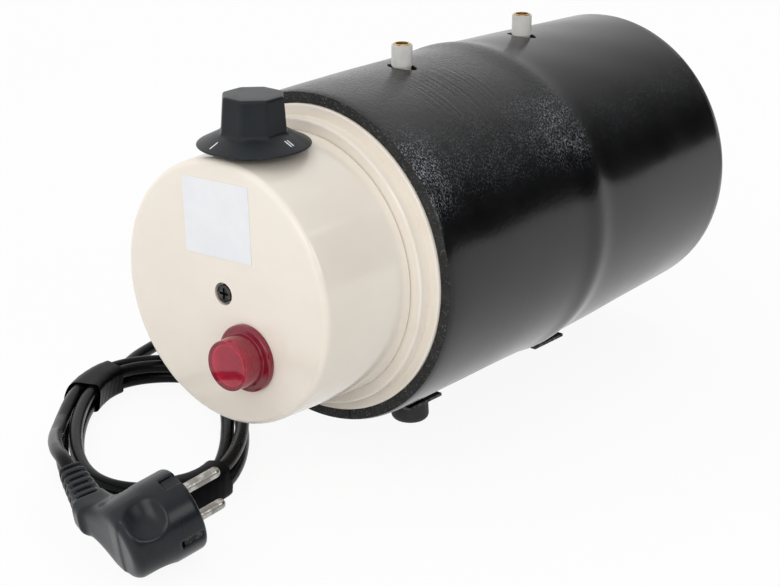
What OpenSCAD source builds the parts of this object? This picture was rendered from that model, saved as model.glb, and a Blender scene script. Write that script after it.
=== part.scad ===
// Small caravan water heater: a foam-wrapped plastic tank lying on its side, with a round control
// cover in front, a thermostat knob on top of the cover and a coiled mains lead beside it.
// Millimetres. The heater's axis runs along Y, its front faces -Y, and it stands on Z = 0.

/* [Overall] */
// Length from the cover's front face to the rear end of the insulation
body_len = 304; // [290:1:380]
// Outside diameter of the insulated body in front of the tank seam
body_dia = 160; // [150:1:200]
// Height of the underside of the body above the floor
ground_gap = 12; // [11:0.5:20]

/* [Insulation] */
// Thickness of the foam wrap and of the foam disc at the rear
foam_thick = 6.5; // [5:0.5:9]
// Height of the soft ridge that the tank seam lifts in the wrap
ridge_rise = 1; // [0.5:0.1:2]
// How much the radius draws in from the seam to the rear end
rear_draw = 4.6; // [1:0.1:8]
// Rounding of the wrap's outer edge at the rear
rear_round = 5; // [2:0.5:6]
// Width of the butt joint between the two ends of the wrap
wrap_joint = 0.8; // [0.4:0.1:2]
// Angle of the butt joint from straight down, towards +X
wrap_joint_angle = 15; // [12:1:40]
// Length of the slit in the wrap round each water stub
slit_len = 18; // [17:0.5:24]

/* [Tank] */
// Wall of the tank shells
tank_wall = 3; // [2.5:0.5:4]
// Distance of the seam between the two shells from the cover's face
seam_pos = 178; // [165:1:185]
// Half the width of the seam flange
seam_half = 4; // [2:0.5:6]
// Overlap of the rear shell's spigot inside the front shell
spigot_len = 6; // [4:0.5:10]
// Radial width of the flange's outer step, beside the foam
outer_step = 5; // [3:0.5:7]
// Radial width of the flange's inner step, beside the cover
inner_step = 5.5; // [4:0.5:7]
// Depth of the inner step
inner_step_depth = 6.5; // [4:0.5:8]
// Thickness of the tank's front wall
front_wall = 4; // [3:0.5:6]

/* [Cover] */
// Depth of the control cover
cover_len = 53.5; // [50:0.5:64]
// Wall of the cover
cover_wall = 2.5; // [2:0.1:3]
// Growth of the cover's radius from front to rear
cover_draft = 1.8; // [0.5:0.1:3]
// Rounding of the cover's front edge
cover_edge = 3; // [1:0.5:5]
// Gap that shows between the cover and the tank flange
cover_gap = 0.5; // [0.2:0.1:0.8]
// Radius of the recess for the cover screw
recess_r = 5.25; // [4.6:0.05:6]
// Width of the blank plate on the face
label_w = 40; // [30:1:44]
// Height of the blank plate on the face
label_h = 35; // [25:1:36]

/* [Knob] */
// Distance of the knob's axis from the cover's face
knob_pos = 22; // [20:0.5:24]
// Diameter of the knob's skirt
knob_dia = 51; // [44:0.5:58]
// Height of the knob
knob_h = 23.5; // [20:0.5:30]
// Width of the eight-sided grip across its flats, at its foot
grip_flats = 29; // [24:0.5:32]
// Radius of the thermostat spindle
spindle_r = 3; // [2.5:0.1:3.5]
// Turn from the resting mark to either end stop, in degrees
knob_swing = 133; // [60:1:140]

/* [Pilot lamp] */
// Sideways place of the lamp on the face
lamp_x = 14.4; // [10:0.2:18]
// Height of the lamp on the face, from the axis
lamp_z = -26.5; // [-30:0.5:-25]
// How far the lens stands out of the face
lamp_out = 14; // [10:0.5:18]
// Radius of the lens
lens_r = 12; // [10:0.1:13]
// Radius of the lens collar
collar_r = 15.5; // [14.5:0.1:17]

/* [Water stubs] */
// Distance of the front stub from the cover's face
stub_pos = 124; // [115:1:140]
// Distance between the two stubs
stub_pitch = 96; // [85:1:110]
// Outside radius of the stubs, for a 10 mm hose
stub_r = 5; // [4.7:0.05:5.2]
// Height of the stubs above the wrap
stub_rise = 11; // [8:0.5:16]

/* [Feet] */
// Size of a foot plate along X, along Y and in thickness
plate_size = [55, 25, 1.5];
// Distance of the front plate's middle from the cover's face
front_plate_pos = 109.5; // [95:0.5:112]
// Distance of the rear plate's middle from the cover's face
rear_plate_pos = 213.5; // [205:0.5:240]
// Half the distance between the outer holes of a plate
foot_side = 17.6; // [15:0.1:20]
// Radius of a rubber foot
foot_r = 9.3; // [8:0.1:10]

/* [Cord] */
// Diameter of the mains lead
cord_dia = 6.5; // [6:0.1:7]

/* [Hidden] */
$fn = 64;
fit = 0.2;
touch = 0.05;
run_fit = 0.05;
screw_fit = 0.1;

// Radii of the body, all worked out from the outside inwards
body_r = body_dia / 2;
tank_r = body_r - foam_thick;
step_r = tank_r - outer_step;
cover_rear_r = step_r - inner_step;
cover_front_r = cover_rear_r - cover_draft;
function cover_r(d) = cover_front_r + cover_draft * d / cover_len;
function drawn_in(d) = rear_draw * max(0, d - seam_pos) / (body_len - seam_pos);
function tank_outer(d) = tank_r - drawn_in(d);
ridge_half = 8;
function wrap_r(d) = body_r - drawn_in(d) + ridge_rise * exp(-pow((d - seam_pos) / ridge_half, 2));

// The frame: the face of the cover and the heater's axis
face_y = (lamp_out - body_len) / 2;
axis_z = body_r + ground_gap;

// Depths behind the cover's face
step_pos = cover_len + cover_gap;
rim_pos = step_pos + inner_step_depth;
foam_front = rim_pos + 1.5;
wall_pos = rim_pos + 1.5;
tank_end = body_len - foam_thick - 1.5;
lip_len = 4;
lip_wall = 2.7;
lip_r = cover_rear_r - cover_wall - fit - cover_draft * lip_len / cover_len;

// Heating element flange, measured from the tank's front wall
gasket_thick = 2;
plate_thick = 3;
plate_r = 36;
plate_front = wall_pos - gasket_thick - plate_thick;
opening_r = 27;
flange_screw_ring = 31;
flange_screw_count = 6;
flange_screw_r = 2;
flange_screw_head = 3.5;
insert_len = 10;
insert_r = 4.5;
element_r = 4;
element_side = 11;
element_z = -14;
element_end = 250;
pocket_x = 12;
pocket_z = 14;
pocket_r = 5;
pocket_bore = 3.6;
pocket_end = 160;
cutout_x = -16;
cutout_z = 10;
cutout_r = 8;
cutout_h = 7;

// Cover screw and its post
screw_head_r = 4.1;
screw_head_h = 3.5;
screw_r = 2.4;
recess_deep = 3.8;
boss_r = 7.5;
boss_len = 14;
post_r = 4.5;
screw_reach = 16;

// Thermostat, hung from a flat pad under the cover's roof
bush_r = 5;
pad_r = 9;
pad_top = cover_r(knob_pos) + 0.5;
pad_bottom = cover_r(knob_pos) - cover_wall - 2.9;
stat_size = [28, 34, 18];
bush_seat = 4;
nut_h = 2.5;
nut_flats = 14;
knob_z = pad_top + 0.6;
bush_top = knob_z + 3;
hub_r = 8;
hub_lift = 3.6;
skirt_h = 3;
cone_h = 7.2;
spindle_top = knob_z + knob_h - 7;
spindle_bottom = pad_bottom - bush_seat - 8;
capillary_r = 1;
port_x = 8;
port_drop = 12;

// Terminal block on the tank's front wall
block_size = [12, 13, 30];
block_x = -53;
block_pitch = 9;

// Cable gland, on the cover's lower left, square to its wall: a slope of 3 in 5
gland_dir = [-0.8, 0, -0.6];
gland_turn = -(90 + asin(0.6));
gland_pos = 40;
gland_pad_r = 10;
gland_pad_out = cover_r(gland_pos) + 1.4;
gland_pad_in = cover_r(gland_pos) - cover_wall - 3;
gland_shank_r = 5.4;
gland_flange_r = 8.5;
gland_flange_h = 2.5;
gland_end = gland_pad_out + 21;
gland_bore = cord_dia / 2 + 0.1;
gland_nut_h = 4;
gland_nut_flats = 16;
cable_inner_end = 46;

// Feet
plate_top = -(body_r + fit);
plate_under = plate_top - plate_size.z;
mount_boss_r = 6;
mount_hole_r = 1.8;
mount_screw_r = 1.75;
mount_screw_head = 3.6;
mount_screw_head_h = 2.6;
stem_r = 3;
stem_head_r = 4;
stem_head_h = 0.9;

// Water stubs
tube_r = 4;
tube_bore = 3.2;
stub_collar_r = 7.5;
stub_collar_h = 2.6;
stub_seal_h = 1.5;
sleeve_neck = 0.6;
stub_nut_h = 4;
dip_wall = 1.2;
dip_end = 62;

// Mains lead. A coil of flat oval loops lies on the floor at the heater's left, half under the cover.
// Its turns spiral in on the lower layer and out again on the upper one.
cord_r = cord_dia / 2;
coil_centre = [-56, -137];
coil_turn = 135;
coil_half_run = 34;
coil_outer_r = 44.5;
coil_step = 7.2;
coil_lift = 1;
coil_layer = 7;
coil_loops = 3;
coil_start_angle = 270;
coil_end_back = 10;
coil_turns = coil_loops - coil_end_back / 360;
coil_rings = 24;
coil_sides = 6;
lead_sides = 10;

// Two turns of tape hold the coil's strands, one at its far left and one at its near right.
// Each section is a list of [radius, height] points: the room inside it, and the tape's outer side.
far_tape = [298, 326];
far_tape_room = [[34, 0.8], [52.4, 0.8], [52.4, 7.2], [47.4, 14.9], [32.6, 14.9], [32.6, 8]];
far_tape_skin = [[33.2, 0.1], [53.2, 0.1], [53.2, 7.5], [47.9, 15.6], [31.8, 15.6], [31.8, 7.8]];
near_tape = [132, 165];
near_tape_room = [[30.6, 0.8], [47, 0.8], [47, 8.4], [44.4, 15], [35.4, 15], [30.2, 10.4]];
near_tape_skin = [[29.8, 0.1], [47.8, 0.1], [47.8, 8.6], [45, 15.7], [35, 15.7], [29.4, 10.8]];

// Plug, lying on its rim in front of the coil: its turn and the place of its middle
plug_at = [30, -223.5, 17.6];
plug_turn = [15, 13, -12];
plug_face_r = 18.7;
plug_rim = 15;
plug_front = 18;
plug_back_r = 13.5;
plug_back = 15.5;
pin_r = 2.4;
pin_len = 19;
pin_pitch = 19;
arm_lean = -10;
arm_back = -17;
arm_root = 22;
arm_len = 51;
arm_r = 7;
arm_end_r = 5.2;
arm_ribs = 6;
clip_w = 5;
clip_len = 11;

// Where the lead leaves the gland, where it joins the coil, and where it enters the plug
function unit(v) = v / norm(v);
function level(v) = [v.x, v.y, 0];
function cat(lists) = [for (list = lists) each list];
function turned2(v, a) = [v.x * cos(a) - v.y * sin(a), v.x * sin(a) + v.y * cos(a)];
function coil_radius(t) = coil_outer_r - coil_step * min(t, coil_turns - t);
function ease(x) = x <= 0 ? 0 : x >= 1 ? 1 : x * x * (3 - 2 * x);
function coil_height(t) = cord_r + coil_lift + coil_layer * ease((t - coil_turns / 2) * 2 + 0.5);
function oval(r, a) = [coil_half_run * cos(a) * (1.5 - 0.5 * pow(cos(a), 2)) + r * cos(a), -r * sin(a)];
function coil_point(t) =
    let (p = turned2(oval(coil_radius(t), coil_start_angle - 360 * t), coil_turn))
    [coil_centre.x + p.x, coil_centre.y + p.y, coil_height(t)];
coil_steps = round(coil_turns * coil_rings);
coil_first = coil_point(0);
coil_last = coil_point(coil_turns);
coil_in = unit(level(coil_point(0.01) - coil_first));
coil_out = unit(level(coil_last - coil_point(coil_turns - 0.01)));
coil_path = cat([
    [coil_first - cord_dia * coil_in],
    [for (i = [0 : coil_steps]) coil_point(coil_turns * i / coil_steps)],
    [coil_last + cord_dia * coil_out]]);

function turn_x(v, a) = [v.x, v.y * cos(a) - v.z * sin(a), v.y * sin(a) + v.z * cos(a)];
function turn_y(v, a) = [v.x * cos(a) + v.z * sin(a), v.y, v.z * cos(a) - v.x * sin(a)];
function turn_z(v, a) = [v.x * cos(a) - v.y * sin(a), v.x * sin(a) + v.y * cos(a), v.z];
function plug_turned(v) = turn_z(turn_y(turn_x(v, plug_turn.x), plug_turn.y), plug_turn.z);
arm_dir = plug_turned([-cos(arm_lean), -sin(arm_lean), 0]);
arm_end = plug_at + plug_turned([0, arm_back, 0]) + arm_len * arm_dir;
plug_entry = -arm_dir;

// A smooth path that follows a list of guide points, straight at its first and last point
function spline(p, steps) =
    let (n = len(p), q = cat([[2 * p[0] - p[1]], p, [2 * p[n - 1] - p[n - 2]]]))
    cat([[for (i = [0 : n - 2]) for (k = [0 : steps - 1]) let (u = k / steps)
        (pow(1 - u, 3) * q[i] + (3 * pow(u, 3) - 6 * u * u + 4) * q[i + 1]
            + (1 + 3 * u + 3 * u * u - 3 * pow(u, 3)) * q[i + 2] + pow(u, 3) * q[i + 3]) / 6], [p[n - 1]]]);

// The lead falls from the gland, makes a wide bend on the floor behind the coil and joins its outer turn
gland_mouth = [0, face_y + gland_pos, axis_z] + gland_end * gland_dir;
lead_points = [
    [-111, -87.5, 26], [-109.5, -58.5, 3.5], [-87.5, -41, 3.5], [-88.5, -12, 4], [-110, 6, 3.5],
    [-139, 1, 3.5], [-153.5, -25, 4], [-142, -51.5, 3.5], [-138.5, -74, 4], [-126, -96, 4.5],
    [-126.5, -113, 4.5], [-122.5, -130.5, 4.5], [-107.5, -149, 4.5]];
lead_path = cat([
    [gland_mouth],
    spline(cat([
        [gland_mouth + 2 * gland_dir, gland_mouth + 14 * gland_dir],
        lead_points,
        [coil_path[0] - 14 * coil_in, coil_path[0] - 2 * coil_in]]), 2),
    [coil_path[0]]]);
tail_points = [
    [-86, -171, 12.5], [-76, -181.5, 15], [-65, -191.5, 19], [-53.5, -201, 23], [-42, -209.5, 26.5]];
tail_path = cat([
    [coil_path[len(coil_path) - 1], coil_path[len(coil_path) - 1] + 2 * coil_out],
    tail_points,
    [arm_end - cord_dia * plug_entry, arm_end]]);

// Least room between turns of the coil, measured on its rings, apart from near neighbours on one turn
coil_gap = min([for (i = [0 : len(coil_path) - 1]) for (j = [i + coil_rings / 2 : 1 : len(coil_path) - 1])
    norm(coil_path[i] - coil_path[j])]) - cord_dia;
function path_length(p) = len(p) < 2 ? 0 : [for (i = 0, s = 0; i < len(p); s = s
    + (i + 1 < len(p) ? norm(p[i + 1] - p[i]) : 0), i = i + 1) s][len(p) - 1];
echo(coil_gap = coil_gap);
echo(cord_length = path_length(lead_path) + path_length(coil_path) + path_length(tail_path));
echo(knob_range = [-knob_swing, knob_swing]);

// Shared shapes

// Children drawn about the heater's axis: X to the right, Y behind the cover's face, Z up
module on_axis() translate([0, face_y, axis_z]) children();

// A turned shape about the heater's axis, from an outline of [radius, depth] points
module turned(outline) on_axis() rotate([-90, 0, 0]) rotate_extrude() polygon(outline);

// A round bar along the heater's axis from one depth to another, at a place on the face
module rod(x, z, r, d1, d2) on_axis() translate([x, d1, z]) rotate([-90, 0, 0]) cylinder(r = r, h = d2 - d1);

// A round bar standing up from one height to another, at a depth and a sideways place
module pillar(d, r, z1, z2, x = 0) on_axis() translate([x, d, z1]) cylinder(r = r, h = z2 - z1);

// Children drawn along the gland's axis, with Z outwards from the heater's axis
module at_gland() on_axis() translate([0, gland_pos, 0]) rotate([0, gland_turn, 0]) children();

// A six-sided nut
module hex_nut(flats, h, bore) difference() {
    cylinder(r = flats / sqrt(3), h = h, $fn = 6);
    translate([0, 0, -1]) cylinder(r = bore, h = h + 2);
}

// Rings of a tube along a path, each square to the path, and the tube that joins them
function tangent(p, i) = unit(p[min(i + 1, len(p) - 1)] - p[max(i - 1, 0)]);
function ring(p, i, r, sides) =
    let (t = tangent(p, i), s = unit(cross(t, [0, 0, 1])), u = cross(s, t))
    [for (k = [0 : sides - 1]) p[i] + r * (cos(360 * k / sides) * s + sin(360 * k / sides) * u)];
module tube(path, r, sides) {
    n = len(path);
    points = cat([for (i = [0 : n - 1]) ring(path, i, r, sides)]);
    walls = [for (i = [0 : n - 2]) for (k = [0 : sides - 1])
        let (a = i * sides + k, b = i * sides + (k + 1) % sides)
        each [[a, a + sides, b], [b, a + sides, b + sides]]];
    first_cap = [for (k = [1 : sides - 2]) [0, k, k + 1]];
    last = (n - 1) * sides;
    last_cap = [for (k = [1 : sides - 2]) [last, last + k + 1, last + k]];
    polyhedron(points, cat([walls, first_cap, last_cap]));
}

// A smooth path between two points that leaves and arrives along given directions
function curve(a, da, b, db, steps) = [for (i = [0 : steps]) let (t = i / steps)
    (2 * t * t * t - 3 * t * t + 1) * a + (t * t * t - 2 * t * t + t) * da
    + (3 * t * t - 2 * t * t * t) * b + (t * t * t - t * t) * db];

// Insulation

module insulation_wrap() color("#1b1c1e") difference() {
    turned(cat([
        [[tank_r + fit, foam_front], [body_r - 1, foam_front], [body_r, foam_front + 1]],
        [for (d = [seam_pos - 3 * ridge_half : ridge_half / 4 : seam_pos + 3 * ridge_half]) [wrap_r(d), d]],
        [for (a = [0 : 15 : 90]) [wrap_r(body_len) - rear_round * (1 - cos(a)),
            body_len - rear_round * (1 - sin(a))]],
        [[tank_outer(body_len) + fit, body_len],
         [tank_outer(seam_pos + seam_half) + fit, seam_pos + seam_half + 1],
         [tank_r + ridge_rise + fit, seam_pos + seam_half + fit],
         [tank_r + ridge_rise + fit, seam_pos - seam_half - fit],
         [tank_r + fit, seam_pos - seam_half - 1]]]));
    on_axis() rotate([0, -wrap_joint_angle, 0])
        translate([-wrap_joint / 2, foam_front - 1, -body_r - 5])
        cube([wrap_joint, body_len, foam_thick + 12]);
    for (d = [stub_pos, stub_pos + stub_pitch]) {
        stub_slit(d);
        pillar(d, nut_flats / sqrt(3) + 0.6, 0, tank_outer(d) + stub_nut_h + 1);
    }
    pillar(front_plate_pos, mount_boss_r + fit, -body_r - 5, 0);
    for (side = [-1, 1]) pillar(rear_plate_pos, mount_boss_r + fit, -body_r - 5, 0, side * foot_side);
}

// The lens-shaped opening that a stub spreads in a straight slit across the wrap
module stub_slit(d) {
    width = 2 * (stub_r + fit);
    arc_r = (slit_len * slit_len / 4 + width * width / 4) / width;
    intersection() {
        pillar(d + arc_r - width / 2, arc_r, 0, body_r + 5);
        pillar(d - arc_r + width / 2, arc_r, 0, body_r + 5);
    }
}

module insulation_end_disc() color("#1b1c1e")
    rod(0, 0, tank_outer(body_len) - touch, tank_end + touch, tank_end + foam_thick);

// Tank

module tank_front_shell() color("#eee4d6") difference() {
    inner_r = tank_r - tank_wall;
    round1 = 1.2;
    round2 = 0.8;
    union() {
        turned(cat([
            [[lip_r, step_pos - lip_len], [lip_r, step_pos]],
            [for (a = [0 : 30 : 90]) [step_r - round1 * (1 - sin(a)), step_pos + round1 * (1 - cos(a))]],
            [[step_r, rim_pos]],
            [for (a = [0 : 30 : 90]) [tank_r - round2 * (1 - sin(a)), rim_pos + round2 * (1 - cos(a))]],
            [[tank_r, seam_pos - seam_half - 1],
             [tank_r + ridge_rise, seam_pos - seam_half],
             [tank_r + ridge_rise, seam_pos],
             [inner_r, seam_pos],
             [inner_r, wall_pos + front_wall + 3], [inner_r - 3, wall_pos + front_wall],
             [opening_r, wall_pos + front_wall], [opening_r, wall_pos],
             [lip_r - lip_wall, wall_pos], [lip_r - lip_wall, step_pos - lip_len]]]));
        for (i = [0 : flange_screw_count - 1])
            rod(flange_screw_ring * cos(360 * i / flange_screw_count),
                flange_screw_ring * sin(360 * i / flange_screw_count),
                insert_r, wall_pos + 1, wall_pos + front_wall + insert_len);
        pillar(front_plate_pos, mount_boss_r, plate_top, -tank_r + tank_wall / 2);
    }
    for (i = [0 : flange_screw_count - 1])
        rod(flange_screw_ring * cos(360 * i / flange_screw_count),
            flange_screw_ring * sin(360 * i / flange_screw_count),
            flange_screw_r + screw_fit, wall_pos - 1, wall_pos + front_wall + insert_len - 2);
    pillar(front_plate_pos, mount_hole_r, plate_top - 1, -tank_r + 1);
    pillar(stub_pos, tube_r + fit, inner_r - 5, tank_r + 5);
}

module tank_rear_shell() color("#eee4d6") difference() {
    corner = 12;
    end_r = tank_outer(tank_end);
    inner_end = end_r - tank_wall;
    spigot_r = tank_r - tank_wall - fit;
    union() {
        turned(cat([
            [[tank_r - tank_wall, seam_pos], [tank_r + ridge_rise, seam_pos],
             [tank_r + ridge_rise, seam_pos + seam_half],
             [tank_outer(seam_pos + seam_half), seam_pos + seam_half + 1]],
            [for (a = [0 : 15 : 90]) [end_r - corner * (1 - cos(a)), tank_end - corner * (1 - sin(a))]],
            [[0, tank_end], [0, tank_end - tank_wall]],
            [for (a = [90 : -15 : 0]) [inner_end - corner * (1 - cos(a)),
                tank_end - tank_wall - corner * (1 - sin(a))]],
            [[tank_outer(seam_pos + spigot_len + 4) - tank_wall, seam_pos + spigot_len + 4],
             [spigot_r - tank_wall, seam_pos + spigot_len], [spigot_r - tank_wall, seam_pos - spigot_len],
             [spigot_r, seam_pos - spigot_len], [spigot_r, seam_pos]]]));
        for (side = [-1, 1])
            pillar(rear_plate_pos, mount_boss_r, plate_top,
                -sqrt(pow(tank_outer(rear_plate_pos), 2) - pow(foot_side, 2)) + tank_wall / 2, side * foot_side);
    }
    for (side = [-1, 1])
        pillar(rear_plate_pos, mount_hole_r, plate_top - 1,
            -sqrt(pow(tank_outer(rear_plate_pos), 2) - pow(foot_side - mount_hole_r, 2)) - 0.5, side * foot_side);
    pillar(stub_pos + stub_pitch, tube_r + fit, 40, tank_r + 5);
}

// Control cover

module control_cover() color("#eee4d6") difference() {
    union() {
        turned(cat([
            [[0, 0]],
            [for (a = [0 : 15 : 90]) [cover_front_r - cover_edge * (1 - sin(a)), cover_edge * (1 - cos(a))]],
            [[cover_rear_r, cover_len], [cover_rear_r - cover_wall, cover_len],
             [cover_r(cover_wall + cover_edge) - cover_wall, cover_wall + cover_edge],
             [cover_front_r - cover_edge - cover_wall / 2, cover_wall], [0, cover_wall]]]));
        rod(0, 0, boss_r, cover_wall / 2, boss_len);
        pillar(knob_pos, pad_r, pad_bottom, pad_top);
        at_gland() translate([0, 0, gland_pad_in]) cylinder(r = gland_pad_r, h = gland_pad_out - gland_pad_in);
    }
    rod(0, 0, recess_r, -1, recess_deep);
    rod(0, 0, screw_r + fit, 0, boss_len + 1);
    pillar(knob_pos, bush_r + fit, pad_bottom - 1, pad_top + 1);
    rod(lamp_x, lamp_z, lens_r - 1, -1, cover_wall + 1);
    at_gland() translate([0, 0, gland_pad_in - 10]) cylinder(r = gland_shank_r + screw_fit, h = 30);
}

module cover_screw() color("#33302c") difference() {
    union() {
        rod(0, 0, screw_head_r, recess_deep - screw_head_h, recess_deep);
        rod(0, 0, screw_r, recess_deep - 0.5, boss_len + screw_reach);
    }
    for (turn = [0, 90]) on_axis() rotate([0, turn, 0])
        translate([-2.6, recess_deep - screw_head_h - 1, -0.6]) cube([5.2, 2.8, 1.2]);
}

module cover_post() color("#b9a26a") difference() {
    rod(0, 0, post_r, boss_len, plate_front);
    rod(0, 0, screw_r + screw_fit, boss_len - 1, boss_len + screw_reach + 2);
}

module rating_label() color("#f4f4f4")
    on_axis() translate([-2.7, -0.3, 34]) rotate([0, -2.3, 0])
    translate([-label_w / 2, 0, -label_h / 2]) cube([label_w, 0.3, label_h]);

// Pilot lamp

module at_lamp() on_axis() translate([lamp_x, 0, lamp_z]) rotate([-90, 0, 0]) children();

module pilot_lens() color([0.75, 0.05, 0.1, 0.8]) {
    collar_h = 3;
    lens_wall = 1.8;
    stem_r = lens_r - 1 - fit;
    at_lamp() rotate_extrude() polygon(cat([
        [[0, -lamp_out], [lens_r - 1.2, -lamp_out], [lens_r - 0.3, -lamp_out + 0.6], [lens_r, -collar_h],
         [collar_r - 1, -collar_h], [collar_r, -collar_h + 1], [collar_r, 0],
         [stem_r, 0], [stem_r, 13], [lens_r - lens_wall - 0.5, 13],
         [lens_r - lens_wall - 0.5, -lamp_out + lens_wall], [0, -lamp_out + lens_wall]]]));
}

module lamp_nut() color("#26282b") at_lamp() difference() {
    translate([0, 0, cover_wall]) cylinder(r = collar_r - 1, h = 4);
    translate([0, 0, cover_wall - 1]) cylinder(r = lens_r - 1, h = 6);
}

module lamp_holder() color("#d8d8d2") at_lamp() union() {
    translate([0, 0, 7]) cylinder(r = lens_r - 2.5, h = 13);
    for (side = [-1, 1]) translate([side * 4 - 0.4, -3, 19]) cube([0.8, 6, 8]);
}

module neon_bulb() color([1, 0.6, 0.4, 0.6]) at_lamp() union() {
    translate([0, 0, -4]) cylinder(r = 3, h = 11);
    translate([0, 0, -4]) sphere(r = 3);
}

// Thermostat and knob

module at_knob() on_axis() translate([0, knob_pos, 0]) children();

// The eight-sided grip, drafted and with a chamfered top: a straight prism cut by sloping blocks
module knob_grip() {
    foot = knob_z + cone_h - 2;
    top = knob_z + knob_h;
    draft = 3.5;
    chamfer = 1.6;
    top_half = grip_flats / 2 - (top - foot) * tan(draft);
    difference() {
        translate([0, 0, foot]) rotate([0, 0, 22.5])
            cylinder(r = grip_flats / 2 / cos(22.5), h = top - foot, $fn = 8);
        for (i = [0 : 7]) rotate([0, 0, 45 * i]) {
            translate([grip_flats / 2, -20, foot]) rotate([0, -draft, 0]) cube([20, 40, 40]);
            translate([top_half - chamfer, -20, top]) rotate([0, 45, 0]) translate([-5, 0, 0]) cube([20, 40, 20]);
        }
    }
}

module knob() color("#32363c") difference() {
    skirt_r = knob_dia / 2;
    union() {
        at_knob() rotate_extrude() polygon([
            [0, knob_z], [skirt_r - 1, knob_z], [skirt_r, knob_z + 1], [skirt_r, knob_z + skirt_h - 1],
            [skirt_r - 0.7, knob_z + skirt_h], [grip_flats / 2 - 0.6, knob_z + cone_h], [0, knob_z + cone_h]]);
        at_knob() knob_grip();
    }
    at_knob() rotate_extrude() polygon([
        [hub_r, knob_z - 1], [skirt_r - 2.6, knob_z - 1], [skirt_r - 2.6, knob_z + 1.2],
        [grip_flats / 2 - 2, knob_z + cone_h - 2], [grip_flats / 2 - 3.2, knob_z + knob_h - 4],
        [hub_r, knob_z + knob_h - 4]]);
    at_knob() translate([0, 0, knob_z - 1]) cylinder(r = hub_r + 1, h = hub_lift + 1);
    at_knob() translate([0, 0, knob_z]) cylinder(r = spindle_r + run_fit, h = spindle_top - knob_z + 0.5);
}

module thermostat_spindle() color("#c9c9c9") pillar(knob_pos, spindle_r, spindle_bottom, spindle_top);

module thermostat_body() color("#d9cfb6") difference() {
    on_axis() translate([-stat_size.x / 2, knob_pos - stat_size.y / 2, pad_bottom - stat_size.z]) cube(stat_size);
    pillar(knob_pos, bush_r + screw_fit, pad_bottom - bush_seat, pad_bottom + 1);
    pillar(knob_pos, spindle_r + fit, spindle_bottom - 0.5, pad_bottom);
}

module thermostat_bush() color("#c7a95a") difference() {
    pillar(knob_pos, bush_r, pad_bottom - bush_seat, bush_top);
    pillar(knob_pos, spindle_r + run_fit, pad_bottom - bush_seat - 1, bush_top + 1);
}

module thermostat_nut() color("#c9c9c9") at_knob() translate([0, 0, pad_top])
    hex_nut(nut_flats, nut_h, bush_r + screw_fit);

stat_port = [port_x, knob_pos + stat_size.y / 2 + 0.3, pad_bottom - port_drop];
pocket_mouth = [pocket_x, plate_front + 2, pocket_z];

module capillary_tube() color("#b87333") on_axis()
    tube(curve(stat_port, [0, 40, 0], pocket_mouth - [0, 0.3, 0], [0, 40, 0], 12), capillary_r, 8);

module sensor_bulb() color("#b87333") rod(pocket_x, pocket_z, pocket_bore - 0.3, pocket_mouth.y, pocket_end - 20);

module sensor_pocket() color("#c7a95a") difference() {
    rod(pocket_x, pocket_z, pocket_r, plate_front, pocket_end);
    rod(pocket_x, pocket_z, pocket_bore, plate_front - 1, pocket_end - 2);
}

// Heating element and its flange

module flange_holes(r, d1, d2) for (i = [0 : flange_screw_count - 1])
    rod(flange_screw_ring * cos(360 * i / flange_screw_count),
        flange_screw_ring * sin(360 * i / flange_screw_count), r, d1, d2);

module element_flange() color("#c7a95a") difference() {
    rod(0, 0, plate_r, plate_front, plate_front + plate_thick);
    flange_holes(flange_screw_r + fit, plate_front - 1, plate_front + plate_thick + 1);
    rod(pocket_x, pocket_z, pocket_r + screw_fit, plate_front - 1, plate_front + plate_thick + 1);
    for (side = [-1, 1])
        rod(side * element_side, element_z, element_r + screw_fit, plate_front - 1, plate_front + plate_thick + 1);
}

module flange_gasket() color("#2a2a2a") difference() {
    rod(0, 0, plate_r, wall_pos - gasket_thick, wall_pos);
    rod(0, 0, opening_r, wall_pos - gasket_thick - 1, wall_pos + 1);
    flange_holes(flange_screw_r + fit, wall_pos - gasket_thick - 1, wall_pos + 1);
}

module flange_screws() color("#c9c9c9") {
    flange_holes(flange_screw_head, plate_front - 3, plate_front);
    flange_holes(flange_screw_r, plate_front - 0.5, wall_pos + front_wall + insert_len - 3);
}

module heating_element() color("#9a9a96") union() {
    for (side = [-1, 1])
        rod(side * element_side, element_z, element_r, plate_front - 1, element_end - element_side - element_r);
    on_axis() translate([0, element_end - element_side - element_r, element_z])
        rotate_extrude(angle = 180) translate([element_side, 0]) circle(r = element_r);
}

module element_terminals() color("#e8e4da") for (side = [-1, 1]) union() {
    rod(side * element_side, element_z, 3, plate_front - 6, plate_front - 1);
    rod(side * element_side, element_z, 1.5, plate_front - 13, plate_front - 5);
}

module thermal_cutout() color("#3a3530") union() {
    rod(cutout_x, cutout_z, cutout_r, plate_front - cutout_h, plate_front);
    for (side = [-1, 1]) on_axis()
        translate([cutout_x + side * 4 - 0.4, plate_front - cutout_h - 7, cutout_z - 3]) cube([0.8, 8, 6]);
}

// Wiring behind the cover

module terminal_block() color("#e6e2d8") difference() {
    on_axis() translate([block_x, wall_pos - block_size.y, -block_size.z / 2]) cube(block_size);
    for (i = [-1 : 1]) rod(block_x + block_size.x / 2, i * block_pitch, 2, wall_pos - block_size.y - 1, wall_pos - 5);
}

module terminal_screws() color("#c7a95a") for (i = [-1 : 1])
    rod(block_x + block_size.x / 2, i * block_pitch, 1.8, wall_pos - block_size.y + 0.5, wall_pos - 5);

module supply_cable_end() color("#202225") at_gland()
    translate([0, 0, cable_inner_end]) cylinder(r = cord_r, h = gland_end - cable_inner_end);

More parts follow.
